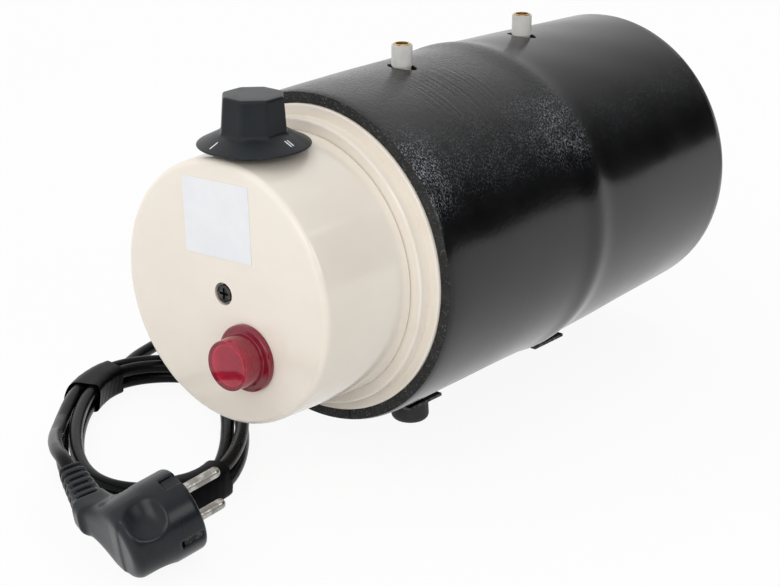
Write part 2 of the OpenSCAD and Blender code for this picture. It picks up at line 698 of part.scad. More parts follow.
// Each wire runs close to a face at either end: start, its direction, end, its direction
wire_r = 1.1;
wire_gap = 0.5;
cable_tip = [0, gland_pos, 0] + (cable_inner_end - wire_gap) * gland_dir;
function block_entry(i) = [block_x + 2, wall_pos - block_size.y - wire_gap, i * block_pitch];
function wire_path(a, da, b, db) = curve(a, da, b, db, 10);
wires = [
    [cable_tip + [0.6, -1.7, -0.8], -40 * gland_dir, block_entry(1), [0, 40, 0]],
    [cable_tip + [0.6, 1.7, -0.8], -26 * gland_dir, block_entry(0), [0, 30, 0]],
    [cable_tip + [-1.2, 0, 1.6], -8 * gland_dir, block_entry(-1), [0, 16, 0]],
    [block_entry(1) + [8, 0, 3], [0, -40, 0],
        [-stat_size.x / 2 - wire_gap, knob_pos + 10, pad_bottom - 9], [40, 0, 0]],
    [block_entry(1) + [8, 0, -4], [0, -60, 0],
        [-element_side, plate_front - 13 - wire_gap, element_z], [0, 60, 0]]];

module internal_wires() color("#3b4f9c") on_axis()
    for (w = wires) tube(wire_path(w[0], w[1], w[2], w[3]), wire_r, 8);

// Water stubs

stub_depths = [stub_pos, stub_pos + stub_pitch];
function stub_top(d) = wrap_r(d) + stub_rise;
function inner_top(d) = sqrt(pow(tank_outer(d + stub_collar_r) - tank_wall - touch, 2) - pow(stub_collar_r, 2));
function nut_seat(d) = tank_outer(d - nut_flats / sqrt(3)) + touch;

module stub(d) color("#b8924a") difference() {
    collar_top = inner_top(d) - stub_seal_h;
    union() {
        pillar(d, tube_r, collar_top - stub_collar_h - 8, stub_top(d));
        pillar(d, stub_collar_r, collar_top - stub_collar_h, collar_top);
    }
    pillar(d, tube_bore, collar_top - stub_collar_h - 9, stub_top(d) + 1);
}

module stub_seal(d) color("#2a2a2a") difference() {
    pillar(d, stub_collar_r, inner_top(d) - stub_seal_h, inner_top(d) - touch);
    pillar(d, tube_r + screw_fit, 0, stub_top(d));
}

module stub_nut(d) color("#b8924a") on_axis() translate([0, d, nut_seat(d)])
    hex_nut(nut_flats, stub_nut_h, tube_r + screw_fit);

// The sleeve is a little slimmer where the foam closes round it
module stub_sleeve(d) color("#b9b8b4") difference() {
    bottom = nut_seat(d) + stub_nut_h + touch;
    union() {
        pillar(d, stub_r - sleeve_neck, bottom, stub_top(d) - 0.6);
        pillar(d, stub_r, wrap_r(d) + 0.3, stub_top(d) - 0.6);
    }
    pillar(d, tube_r + screw_fit, bottom - 1, stub_top(d));
}

module dip_tube() color("#e9e9e4") difference() {
    top = inner_top(stub_pos) - stub_seal_h - stub_collar_h - touch;
    pillar(stub_pos, tube_r + screw_fit + dip_wall, -dip_end, top);
    pillar(stub_pos, tube_r + screw_fit, -dip_end - 1, top + 1);
}

// Feet

module foot_plate(d, screw_holes, foot_holes) color("#4a4640") difference() {
    on_axis() translate([-plate_size.x / 2, d - plate_size.y / 2, plate_under]) cube(plate_size);
    for (x = screw_holes) pillar(d, mount_screw_r + fit, plate_under - 1, plate_top + 1, x);
    for (x = foot_holes) pillar(d, stem_r + screw_fit, plate_under - 1, plate_top + 1, x);
}

module rubber_foot(d, x) color("#141414") union() {
    edge = 3;
    foot_h = axis_z + plate_under;
    on_axis() translate([x, d, -axis_z]) rotate_extrude() polygon(cat([
        [[0, 0]],
        [for (a = [0 : 15 : 90]) [foot_r - edge * (1 - sin(a)), edge * (1 - cos(a))]],
        [[foot_r - 0.4, foot_h], [0, foot_h]]]));
    pillar(d, stem_r, plate_under - 0.5, plate_top + 0.5, x);
    pillar(d, stem_head_r, plate_top, plate_top + stem_head_h, x);
}

module plate_screw(d, x) union() {
    pillar(d, mount_screw_head, plate_under - mount_screw_head_h, plate_under, x);
    pillar(d, mount_screw_r, plate_under - 0.5, plate_top + 4.5, x);
}

module foot_screws() color("#c9c9c9") {
    plate_screw(front_plate_pos, 0);
    for (side = [-1, 1]) plate_screw(rear_plate_pos, side * foot_side);
}

// Gland and mains lead

module cable_gland() color("#1d1f22") at_gland() difference() {
    union() {
        translate([0, 0, gland_pad_in - gland_nut_h - 2])
            cylinder(r = gland_shank_r, h = gland_pad_out - gland_pad_in + gland_nut_h + 2.5);
        translate([0, 0, gland_pad_out]) cylinder(r = gland_flange_r, h = gland_flange_h);
        translate([0, 0, gland_pad_out + 1]) cylinder(r1 = 6.6, r2 = 4.9, h = gland_end - gland_pad_out - 1);
    }
    cylinder(r = gland_bore, h = gland_end + 5);
}

module gland_nut() color("#1d1f22") at_gland() translate([0, 0, gland_pad_in - gland_nut_h])
    hex_nut(gland_nut_flats, gland_nut_h, gland_shank_r + screw_fit);

module cord_lead() color("#222428") tube(lead_path, cord_r, lead_sides);
module cord_coil() color("#222428") tube(coil_path, cord_r, coil_sides);
module cord_tail() color("#222428") tube(tail_path, cord_r, lead_sides);

// A turn of tape: a thin sleeve round the strands, bent along the coil from one angle to another
module tape(room, skin, angles) color("#1a1a1c") {
    n = len(room);
    steps = 8;
    ring_points = 2 * n;
    points = [for (i = [0 : steps]) for (p = cat([skin, room]))
        let (q = turned2(oval(p.x, angles[0] + (angles[1] - angles[0]) * i / steps), coil_turn))
        [coil_centre.x + q.x, coil_centre.y + q.y, p.y]];
    outside = [for (i = [0 : steps - 1]) for (k = [0 : n - 1])
        let (a = i * ring_points + k, b = i * ring_points + (k + 1) % n)
        each [[a, b, a + ring_points], [b, b + ring_points, a + ring_points]]];
    inside = [for (i = [0 : steps - 1]) for (k = [0 : n - 1])
        let (a = i * ring_points + n + k, b = i * ring_points + n + (k + 1) % n)
        each [[a, a + ring_points, b], [b, a + ring_points, b + ring_points]]];
    first = [for (k = [0 : n - 1]) let (a = k, b = (k + 1) % n)
        each [[a, n + a, b], [b, n + a, n + b]]];
    last_ring = steps * ring_points;
    last = [for (k = [0 : n - 1]) let (a = last_ring + k, b = last_ring + (k + 1) % n)
        each [[a, b, n + a], [b, n + b, n + a]]];
    polyhedron(points, cat([outside, inside, first, last]));
}

module coil_tape_far() tape(far_tape_room, far_tape_skin, far_tape);
module coil_tape_near() tape(near_tape_room, near_tape_skin, near_tape);

// Plug: pins along +Y, one above the other, and the lead's arm towards -X

module at_plug() translate(plug_at) rotate(plug_turn) children();

module along_pins(d1) translate([0, d1, 0]) rotate([-90, 0, 0]) children();

module plug_arm(d1, d2, r1, r2) translate([0, arm_back, 0]) rotate([0, 0, arm_lean])
    translate([-d1, 0, 0]) rotate([0, -90, 0]) cylinder(r1 = r1, r2 = r2, h = d2 - d1);

module plug_body() color("#25282c") difference() {
    union() {
        at_plug() along_pins(0) rotate_extrude() polygon([
            [0, plug_front], [plug_face_r - 1, plug_front], [plug_face_r, plug_front - 1],
            [plug_face_r, plug_front - plug_rim], [plug_face_r - 0.7, plug_front - plug_rim - 0.7],
            [plug_face_r - 1.2, -6], [plug_face_r - 2.5, -10], [plug_face_r - 5, -13.5],
            [plug_face_r - 8.5, -plug_back + 1], [plug_face_r - 12, -plug_back], [0, -plug_back]]);
        at_plug() hull() {
            along_pins(-plug_back + 3) cylinder(r = plug_back_r - 2, h = 4, $fn = 32);
            along_pins(-3) cylinder(r = plug_back_r + 1, h = 2, $fn = 32);
            plug_arm(arm_root, arm_root + 1, arm_r, arm_r, $fn = 32);
        }
        at_plug() {
            plug_arm(arm_root - 4, arm_len, arm_r - 0.6, arm_end_r - 0.6);
            for (i = [0 : arm_ribs - 1]) let (d = arm_root + 4 + i * 4.2, r = arm_r + 0.5 - i * 0.25)
                plug_arm(d, d + 2.6, r, r);
        }
    }
    at_plug() for (side = [-1, 1]) along_pins(plug_front - pin_len)
        translate([0, side * pin_pitch / 2, 0]) cylinder(r = pin_r + screw_fit, h = pin_len + 1);
    at_plug() for (side = [-1, 1]) translate([side * plug_face_r - 1.5, plug_front - clip_len, -clip_w / 2])
        cube([3, clip_len + 1, clip_w]);
}

module plug_pins() color("#c2bfb8") at_plug() for (side = [-1, 1]) union() {
    along_pins(plug_front - pin_len + 1) translate([0, side * pin_pitch / 2, 0])
        cylinder(r = pin_r, h = 2 * pin_len - 1 - pin_r);
    along_pins(plug_front + pin_len - pin_r) translate([0, side * pin_pitch / 2, 0]) sphere(r = pin_r);
}

module plug_earth_clips() color("#c2bfb8") at_plug() for (side = [-1, 1])
    translate([side * (plug_face_r - 1.2) - 0.25, plug_front - clip_len + touch, -clip_w / 2 + 0.4])
    cube([0.5, clip_len - 1, clip_w - 0.8]);

insulation_wrap();
insulation_end_disc();
tank_front_shell();
tank_rear_shell();
control_cover();
cover_screw();
cover_post();
rating_label();
pilot_lens();
lamp_nut();
lamp_holder();
neon_bulb();
knob();
thermostat_spindle();
thermostat_body();
thermostat_bush();
thermostat_nut();
capillary_tube();
sensor_bulb();
sensor_pocket();
element_flange();
flange_gasket();
flange_screws();
heating_element();
element_terminals();
thermal_cutout();
terminal_block();
terminal_screws();
supply_cable_end();
internal_wires();
stub(stub_depths[0]);  // inlet_stub
stub(stub_depths[1]);  // outlet_stub
stub_sleeve(stub_depths[0]);  // inlet_sleeve
stub_sleeve(stub_depths[1]);  // outlet_sleeve
stub_nut(stub_depths[0]);  // inlet_nut
stub_nut(stub_depths[1]);  // outlet_nut
stub_seal(stub_depths[0]);  // inlet_seal
stub_seal(stub_depths[1]);  // outlet_seal
dip_tube();
foot_plate(front_plate_pos, [0], [-foot_side, foot_side]);  // front_foot_plate
foot_plate(rear_plate_pos, [-foot_side, foot_side], [0]);  // rear_foot_plate
rubber_foot(front_plate_pos, -foot_side);  // foot_front_left
rubber_foot(front_plate_pos, foot_side);  // foot_front_right
rubber_foot(rear_plate_pos, 0);  // foot_rear
foot_screws();
cable_gland();
gland_nut();
cord_lead();
cord_coil();
cord_tail();
coil_tape_far();
coil_tape_near();
plug_body();
plug_pins();
plug_earth_clips();
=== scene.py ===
# %% [markdown]
# A small electric water heater for a caravan, dressed for a picture. The CAD frame holds every part at
# its true size. This lesson keeps the hard parts as they are and gives them finishes. The soft and
# rounded parts are made again as numpy surfaces: the foam wrap, the mains lead with its tapes, the knob,
# the lamp lens and the plug.

# %% Load the frame
import math

import bmesh
import bpy
import numpy as np
from mathutils import Euler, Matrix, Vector


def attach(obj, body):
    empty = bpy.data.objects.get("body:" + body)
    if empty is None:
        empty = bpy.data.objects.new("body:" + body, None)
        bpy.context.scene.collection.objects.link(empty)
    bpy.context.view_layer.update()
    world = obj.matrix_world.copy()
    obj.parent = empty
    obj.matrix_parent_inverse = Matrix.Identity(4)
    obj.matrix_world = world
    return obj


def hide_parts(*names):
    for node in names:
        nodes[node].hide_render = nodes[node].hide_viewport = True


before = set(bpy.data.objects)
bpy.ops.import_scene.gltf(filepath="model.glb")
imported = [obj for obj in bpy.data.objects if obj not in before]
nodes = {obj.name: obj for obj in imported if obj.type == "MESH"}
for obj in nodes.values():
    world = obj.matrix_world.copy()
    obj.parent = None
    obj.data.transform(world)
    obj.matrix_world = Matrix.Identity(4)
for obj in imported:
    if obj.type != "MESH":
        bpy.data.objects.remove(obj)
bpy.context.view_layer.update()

# %% [markdown]
# The camera comes first, because everything is judged through it. It could be set by eye. Here its place
# was worked out from the round outlines of the cover and the body, which fix its angle and its distance
# together. The lens is long, so the shapes keep their proportions.

# %% Camera
IMAGE_WIDTH = 780
FOCAL_PIXELS = 1925
SENSOR_WIDTH = 36
AZIMUTH, ELEVATION = 39.78, 20.29
CAMERA_AT = (0.5673, -0.7112, 0.3875)
VIEW_END = 60


def placed(name, data):
    """A new object in the scene that shows some data, such as a mesh or a lamp."""
    made = bpy.data.objects.new(name, data)
    bpy.context.scene.collection.objects.link(made)
    return made


camera = placed("camera", bpy.data.cameras.new("camera"))
bpy.context.scene.camera = camera
camera.location = CAMERA_AT
camera.rotation_euler = (math.radians(90 - ELEVATION), 0, math.radians(AZIMUTH))
camera.data.sensor_fit = "HORIZONTAL"
camera.data.sensor_width = SENSOR_WIDTH
camera.data.lens = SENSOR_WIDTH * FOCAL_PIXELS / IMAGE_WIDTH
camera.data.clip_end = VIEW_END
print("lens", round(camera.data.lens, 2), "mm")

# %% [markdown]
# Nearly every new piece is a grid of points, so a few helpers do most of the work. Sizes are in
# millimetres, as in a workshop drawing, and piece() turns them into metres. Doubles are merged to close
# seams and poles, then faces are turned outwards.

# %% Mesh helpers
MM = 0.001
FACE_Y = -145.0
AXIS_Z = 92.0
SIDE_SHARE = 0.45


def coords(*parts):
    """Points from their coordinates, which may be numbers or arrays that fit together."""
    return np.stack(np.broadcast_arrays(*parts), axis=-1)


def once_round(count):
    """Evenly spaced angles of a full turn, without the last one, which is the first again."""
    return np.linspace(0, 2 * np.pi, count, endpoint=False)


def grid_faces(rows, cols, close_rows=False, close_cols=False):
    """Quads between neighbours in a rows by cols grid of points, numbered row by row."""
    i = np.arange(rows if close_rows else rows - 1)[:, None]
    j = np.arange(cols if close_cols else cols - 1)[None, :]
    next_i, next_j = (i + 1) % rows, (j + 1) % cols
    corners = i * cols + j, i * cols + next_j, next_i * cols + next_j, next_i * cols + j
    return coords(*corners).reshape(-1, 4)


def capped_faces(rows, cols):
    """Faces of a tube whose rows are closed rings: quads between the rings, and a flat cap at either end."""
    caps = [list(range(cols)), list(range((rows - 1) * cols, rows * cols))]
    return grid_faces(rows, cols, close_cols=True).tolist() + caps


def smooth(mesh, crease=35):
    """Shade a mesh smooth, apart from edges sharper than the crease angle in degrees."""
    mesh.shade_smooth()
    mesh.set_sharp_from_angle(angle=math.radians(crease))


def piece(name, points, faces, crease=35, merge=1e-4):
    """A smooth mesh object from points in millimetres. Points closer than the merge distance become one."""
    mesh = bpy.data.meshes.new(name)
    corners = (np.reshape(points, (-1, 3)) * MM).tolist()
    mesh.from_pydata(corners, [], faces if isinstance(faces, list) else faces.tolist())
    work = bmesh.new()
    work.from_mesh(mesh)
    bmesh.ops.remove_doubles(work, verts=work.verts, dist=merge * MM)
    bmesh.ops.recalc_face_normals(work, faces=work.faces)
    work.to_mesh(mesh)
    work.free()
    smooth(mesh, crease)
    print(name, len(mesh.polygons), "faces")
    return placed(name, mesh)


def rounded(outline, radius, steps=5):
    """An open outline whose inner corners are replaced by short curves, (1-t)^2 a + 2t(1-t) corner + t^2 b.
    The ends a and b lie a radius away from the corner, or a little under half of a short side."""
    outline = np.array(outline, float)
    radius = np.broadcast_to(radius, len(outline) - 2)[:, None]
    corner = outline[1:-1]
    before, after = outline[:-2] - corner, outline[2:] - corner
    length_before = np.linalg.norm(before, axis=1, keepdims=True)
    length_after = np.linalg.norm(after, axis=1, keepdims=True)
    a = corner + before * np.minimum(radius / length_before, SIDE_SHARE)
    b = corner + after * np.minimum(radius / length_after, SIDE_SHARE)
    t = np.linspace(0, 1, steps)[None, :, None]
    curves = (1 - t) ** 2 * a[:, None] + 2 * t * (1 - t) * corner[:, None] + t**2 * b[:, None]
    return np.vstack([outline[:1], curves.reshape(-1, outline.shape[1]), outline[-1:]])


def about_axis(r, angle, depth):
    """Points round the heater's axis. Angle 0 is straight down, and it grows towards +X."""
    return coords(r * np.sin(angle), FACE_Y + depth, AXIS_Z - r * np.cos(angle))


print("a grid of 3 by 4 points has", len(grid_faces(3, 4)), "quads")

# %% [markdown]
# The mains lead is one flexible length, so it follows one smooth line. The line has three stretches. It
# falls from the gland to the floor and makes a wide bend, then it goes round a taped coil of flat oval
# loops, and at last it rises to the plug. It could be drawn as a Blender curve. Here the loops come from
# a formula and the rest from the points of the CAD route, so both models agree.

# %% Lines for the lead
CORD_D = 6.5
COIL_CENTRE = np.array([-56.0, -137.0])
COIL_TURN = math.radians(135)
COIL_HALF_RUN = 34.0
COIL_OUTER_R = 44.5
COIL_STEP = 7.2
COIL_LIFT = 1.0
COIL_LAYER = 7.0
COIL_TURNS = 3 - 10 / 360
COIL_FROM = 270
CLIMB_TURNS = 0.5


def spline(guides, steps):
    """A smooth line that follows guide points. Each point is a blend of four guides with the weights
    (1-u)^3, 3u^3-6u^2+4, 1+3u+3u^2-3u^3 and u^3, over six."""
    guides = np.array(guides, float)
    ends = np.vstack([2 * guides[:1] - guides[1:2], guides, 2 * guides[-1:] - guides[-2:-1]])
    u = (np.arange(steps) / steps)[None, :, None]
    quads = [ends[k : k + len(guides) - 1, None] for k in range(4)]
    weights = [(1 - u) ** 3, 3 * u**3 - 6 * u**2 + 4, 1 + 3 * u + 3 * u**2 - 3 * u**3, u**3]
    line = sum(w * q for w, q in zip(weights, quads)) / 6
    return np.vstack([line.reshape(-1, 3), guides[-1:]])


def through(points, steps):
    """A smooth line through points. Between two of them it is a cubic whose slopes follow the neighbours."""
    gaps = np.linalg.norm(np.diff(points, axis=0), axis=1)
    slope = np.gradient(points, np.concatenate([[0], np.cumsum(gaps)]), axis=0)
    u = (np.arange(steps) / steps)[None, :, None]
    a, b, da, db = points[:-1, None], points[1:, None], slope[:-1, None], slope[1:, None]
    gap = gaps[:, None, None]
    line = (2 * u**3 - 3 * u**2 + 1) * a + (u**3 - 2 * u**2 + u) * gap * da
    line = line + (3 * u**2 - 2 * u**3) * b + (u**3 - u**2) * gap * db
    return np.vstack([line.reshape(-1, 3), points[-1:]])


def oval(r, angle):
    """Floor point of an oval loop: a circle of radius r drawn out along one direction, then turned."""
    along = COIL_HALF_RUN * np.cos(angle) * (1.5 - 0.5 * np.cos(angle) ** 2) + r * np.cos(angle)
    across = -r * np.sin(angle)
    x = COIL_CENTRE[0] + along * math.cos(COIL_TURN) - across * math.sin(COIL_TURN)
    y = COIL_CENTRE[1] + along * math.sin(COIL_TURN) + across * math.cos(COIL_TURN)
    return x, y


def coil(t):
    """Point of the coil after t turns: it spirals in on the lower layer and out again on the upper one."""
    r = COIL_OUTER_R - COIL_STEP * np.minimum(t, COIL_TURNS - t)
    x, y = oval(r, np.radians(COIL_FROM - 360 * t))
    rise = np.clip((t - COIL_TURNS / 2) / CLIMB_TURNS + 0.5, 0, 1)
    return coords(x, y, CORD_D / 2 + COIL_LIFT + COIL_LAYER * rise**2 * (3 - 2 * rise))


def level(v):
    """Direction of v on the floor."""
    v = np.array([v[0], v[1], 0])
    return v / np.linalg.norm(v)


LOOP_STEPS = 432
END_TURN = 0.01
loops = coil(np.linspace(0, COIL_TURNS, LOOP_STEPS + 1))
coil_in = level(coil(np.array(END_TURN)) - loops[0])
coil_out = level(loops[-1] - coil(np.array(COIL_TURNS - END_TURN)))
print("coil of", round(COIL_TURNS, 2), "turns, radius", COIL_OUTER_R, "mm at its ends")

# %% [markdown]
# The three stretches are joined end to end. At the gland, the coil and the plug the lead leaves straight,
# so two guide points lie in line there. At last the line is measured and divided into short even steps.

# %% The lead's route
GLAND_DEPTH, GLAND_REACH = 40.0, 84.946
GLAND_DIR = np.array([-0.8, 0, -0.6])
GLAND_MOUTH = np.array([0, FACE_Y + GLAND_DEPTH, AXIS_Z]) + GLAND_REACH * GLAND_DIR
PLUG_AT = np.array([30, -223.5, 17.6])
PLUG_FRAME = np.array(Euler(np.radians([15, 13, -12])).to_matrix())
ARM_ANGLE = math.radians(10)
ARM_DIR = np.array([-math.cos(ARM_ANGLE), math.sin(ARM_ANGLE), 0])
ARM_START = np.array([0, -17.0, 0])
ARM_LEN = 51.0
STRAIGHT_NEAR, STRAIGHT_FAR = 2, 14
LEAD_STEPS, TAIL_STEPS, RING_GAP = 12, 10, 2
LEAD_BENDS = [
    [-111, -87.5, 26], [-109.5, -58.5, 3.5], [-87.5, -41, 3.5], [-88.5, -12, 4], [-110, 6, 3.5],
    [-139, 1, 3.5], [-153.5, -25, 4], [-142, -51.5, 3.5], [-138.5, -74, 4], [-126, -96, 4.5],
    [-126.5, -113, 4.5], [-122.5, -130.5, 4.5], [-107.5, -149, 4.5],
]
TAIL_BENDS = [
    [-86, -171, 12.5], [-76, -181.5, 15], [-65, -191.5, 19], [-53.5, -201, 23], [-42, -209.5, 26.5],
]


def from_plug(points):
    """Points of the plug's own frame, where its pins lie along Y, moved to where it lies on the floor."""
    return PLUG_AT + np.asarray(points) @ PLUG_FRAME.T


coil_start = loops[0] - CORD_D * coil_in
coil_end = loops[-1] + CORD_D * coil_out
arm_end = from_plug(ARM_START + ARM_LEN * ARM_DIR)
arm_way = PLUG_FRAME @ ARM_DIR
lead_guides = [GLAND_MOUTH + run * GLAND_DIR for run in (STRAIGHT_NEAR, STRAIGHT_FAR)] + LEAD_BENDS
lead_guides += [coil_start - run * coil_in for run in (STRAIGHT_FAR, STRAIGHT_NEAR)]
tail_guides = [loops[-1], coil_end, coil_end + STRAIGHT_NEAR * coil_out] + TAIL_BENDS
tail_guides += [arm_end + CORD_D * arm_way, arm_end]
lead = spline(lead_guides, LEAD_STEPS)
tail = through(np.array(tail_guides), TAIL_STEPS)
route = np.vstack([GLAND_MOUTH, lead, coil_start, loops, tail[1:]])
walked = np.concatenate([[0], np.cumsum(np.linalg.norm(np.diff(route, axis=0), axis=1))])
cord_length = walked[-1]
stations = np.linspace(0, cord_length, int(cord_length / RING_GAP))
route = coords(*(np.interp(stations, walked, route[:, k]) for k in range(3)))
print("lead of", round(cord_length), "mm in", len(route), "rings")

# %% [markdown]
# The lead itself is a round sheath, so its surface is a circle carried along the route. A Blender curve
# with a bevel would give the same shape. Here each ring is worked out square to the line, with one of its
# directions level, so the tube doesn't twist and its ends can be capped.

# %% The lead
CORD_SIDES = 20


def tube(line, radius, sides):
    """Circles square to a line: centre + radius (cos a side + sin a up), where side is level."""
    ahead = np.gradient(line, axis=0)
    ahead /= np.linalg.norm(ahead, axis=1, keepdims=True)
    side = np.cross(ahead, [0, 0, 1])
    side /= np.linalg.norm(side, axis=1, keepdims=True)
    up = np.cross(side, ahead)
    a = once_round(sides)[None, :, None]
    rings = line[:, None] + radius * (np.cos(a) * side[:, None] + np.sin(a) * up[:, None])
    return rings, capped_faces(len(line), sides)


mains_lead = piece("mains_lead", *tube(route, CORD_D / 2, CORD_SIDES), crease=60)
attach(mains_lead, "heater")
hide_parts("cord_lead", "cord_coil", "cord_tail")

# %% [markdown]
# Two bands of tape hold the coil. A strip wound round the strands would need many turns. A band is
# simpler: a closed outline round the strands, carried a little way along the oval. Its wall is drawn as a
# loop too, out along the outside and back along the inside, so the band is closed everywhere. The corners
# of the outline are rounded as tape rounds them, and its edges wander a little.

# %% The coil's tapes
TAPE_CORNER, TAPE_CORNER_STEPS = 5.5, 9
TAPE_WALL = 0.45
OUT_STEPS, BACK_STEPS = 26, 8
RIPPLE = 0.12
FAR_ROOM = [[34, 0.8], [52.4, 0.8], [52.4, 7.2], [47.4, 14.9], [32.6, 14.9], [32.6, 8]]
FAR_SKIN = [[33.2, 0.1], [53.2, 0.1], [53.2, 7.5], [47.9, 15.6], [31.8, 15.6], [31.8, 7.8]]
NEAR_ROOM = [[30.6, 0.8], [47, 0.8], [47, 8.4], [44.4, 15], [35.4, 15], [30.2, 10.4]]
NEAR_SKIN = [[29.8, 0.1], [47.8, 0.1], [47.8, 8.6], [45, 15.7], [35, 15.7], [29.4, 10.8]]
FAR_FROM, FAR_TO, NEAR_FROM, NEAR_TO = 298, 326, 132, 165


def tape_band(name, room, skin, first, last, node):
    """Points at each outline place and each wall place. The skin outline [radius, height] moves from first to
    last degrees along the oval. An outline between skin and room then moves back inside it. Sine waves let
    the edges wander by part of a degree, and ripple the outside."""
    def ring(outline):
        closed = np.vstack([outline[-1:], outline, outline[:1]])
        return rounded(closed, TAPE_CORNER, TAPE_CORNER_STEPS)[1:-1]

    skin, room = np.array(skin, float), np.array(room, float)
    outside, inside = ring(skin), ring(skin + TAPE_WALL * (room - skin))
    place = once_round(len(outside))[:, None]
    out_angle = np.linspace(first, last, OUT_STEPS)[None]
    back_angle = np.linspace(last, first, BACK_STEPS)[None]
    wander = 0.5 * np.sin(3 * place) + 0.3 * np.sin(7 * place + 1)
    angle = np.hstack([out_angle + wander, back_angle + wander])
    ripple = RIPPLE * np.sin(5 * place + 0.35 * out_angle) * np.sin(0.9 * out_angle - 2 * place)
    radius, height = (
        np.hstack([outside[:, k, None] + 0 * out_angle, inside[:, k, None] + 0 * back_angle]) for k in (0, 1)
    )
    radius[:, :OUT_STEPS] += ripple * (outside[:, 1:] > 1)
    points = coords(*oval(radius, np.radians(angle)), height)
    band = piece(name, points, grid_faces(*angle.shape, True, True), crease=50)
    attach(band, "heater")
    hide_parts(node)
    return band


tape_far = tape_band("tape_far", FAR_ROOM, FAR_SKIN, FAR_FROM, FAR_TO, "coil_tape_far")
tape_near = tape_band("tape_near", NEAR_ROOM, NEAR_SKIN, NEAR_FROM, NEAR_TO, "coil_tape_near")

# %% [markdown]
# The foam wrap is a sheet of black closed-cell rubber, rolled once round the tank with a butt joint
# underneath. It could be a flat sheet bent by a modifier. Here its section is a closed outline of radius
# and depth, and the sheet is that outline carried round from one side of the joint to the other, which
# keeps its thickness true. Where the tank's seam lies under it, the foam rises in a soft ridge.

# %% Foam wrap
BODY_LEN, BODY_R, FOAM = 304.0, 80.0, 6.5
SEAM, RIDGE_HALF, RIDGE_RISE = 178.0, 8.0, 1.0
FLANGE_HALF = 9
REAR_DRAW, REAR_ROUND = 4.6, 5.0
FOAM_FRONT, FRONT_CURL, CURL_LEN = 62.0, 1.0, 6
FRONT_EDGE, EDGE_LEN, INSIDE_FROM = ((0.9, 0.0), (0.3, 0.2)), 1.4, 5
JOINT_ANGLE, JOINT_WIDTH = math.radians(15), 0.8
FIT, SKIN_DEEP = 0.2, 0.1
SHEET_STEPS, OUTER_STEP, INNER_STEP = 170, 2.4, 6.0
SWELLS = ((0.10, 3, 0.021, 0), (0.07, 7, -0.05, 1), (0.05, 13, 0.11, 0))


def drawn_in(depth):
    """How far the body has drawn in at a depth: nothing before the seam, then evenly to the rear."""
    return REAR_DRAW * np.maximum(0, depth - SEAM) / (BODY_LEN - SEAM)


def wrap_radius(depth):
    """Outer radius of the wrap: the body, less the draw, plus a bell-shaped ridge over the seam.
    Towards the cut front edge the foam curls in a little."""
    ridge = RIDGE_RISE * np.exp(-(((depth - SEAM) / RIDGE_HALF) ** 2))
    return BODY_R - drawn_in(depth) + ridge - FRONT_CURL * np.exp(-(depth - FOAM_FRONT) / CURL_LEN)


def wrap_section():
    """Closed outline [radius, depth] of the wrap: its front edge, the outside, a quarter circle at the rear
    and the inside, which steps out round the tank's flange."""
    lip = wrap_radius(FOAM_FRONT)
    front = [[BODY_R - FOAM + FIT, FOAM_FRONT]] + [[lip - r, FOAM_FRONT + d] for r, d in FRONT_EDGE]
    along = np.arange(FOAM_FRONT + EDGE_LEN, BODY_LEN - REAR_ROUND, OUTER_STEP)
    turn = np.radians(np.arange(0, 91, 15))
    rear_r = wrap_radius(BODY_LEN) - REAR_ROUND * (1 - np.cos(turn))
    rear_depth = BODY_LEN - REAR_ROUND * (1 - np.sin(turn))
    back = np.arange(BODY_LEN, FOAM_FRONT + INSIDE_FROM, -INNER_STEP)
    flange = RIDGE_RISE * (np.abs(back - SEAM) < FLANGE_HALF)
    inside = coords(BODY_R - FOAM + FIT - drawn_in(back) + flange, back)
    return np.vstack([front, coords(wrap_radius(along), along), coords(rear_r, rear_depth), inside])


def wrap_surface():
    """The section at each angle round the axis. Its outside swells by a sum of waves, each of which is
    size times sin(waves angle + run depth + start)."""
    r, depth = wrap_section().T[:, None]
    half_joint = JOINT_WIDTH / 2 / (BODY_R - FOAM / 2)
    ends = JOINT_ANGLE + half_joint, JOINT_ANGLE + 2 * np.pi - half_joint
    angle = np.linspace(*ends, SHEET_STEPS)[:, None]
    swell = sum(size * np.sin(waves * angle + run * depth + start) for size, waves, run, start in SWELLS)
    outer = r > wrap_radius(depth) - SKIN_DEEP
    return about_axis(r + swell * outer, angle, depth)


wrap_points = wrap_surface()
foam_wrap = piece("foam_wrap", wrap_points, capped_faces(*wrap_points.shape[:2]))

# %% [markdown]
# The foam is slit for the water stubs, as with a knife, and has round holes for the feet. Drawing the
# sheet round the openings would spoil its even grid, so bars in the shape of the openings are cut out
# with a Boolean. Each stub's slit also gets a round recess inside, for the nut on the tank.

# %% Openings in the foam
STUBS = (124.0, 220.0)
SLIT_LEN, SLIT_WIDTH, SLIT_STEPS = 18.0, 10.4, 25
FOOT_HOLES = ((0, 109.5), (-17.6, 213.5), (17.6, 213.5))
FOOT_HOLE_R = 6.2
NUT_ROOM_R, NUT_ROOM_RISE = 8.7, 5
BAR_IN, BAR_OUT = 60, 90
HOLE_SIDES = 48


def prism(outline, low, high):
    """Points and faces of an upright bar: an outline [x, depth] at two heights above the axis."""
    ends = [coords(outline[:, 0], FACE_Y + outline[:, 1], AXIS_Z + height) for height in (low, high)]
    return np.vstack(ends), capped_faces(2, len(outline))


def hole(x, depth, r):
    """Outline of a round hole: centre + r (cos t, sin t)."""
    t = once_round(HOLE_SIDES)
    return coords(x + r * np.cos(t), depth + r * np.sin(t))


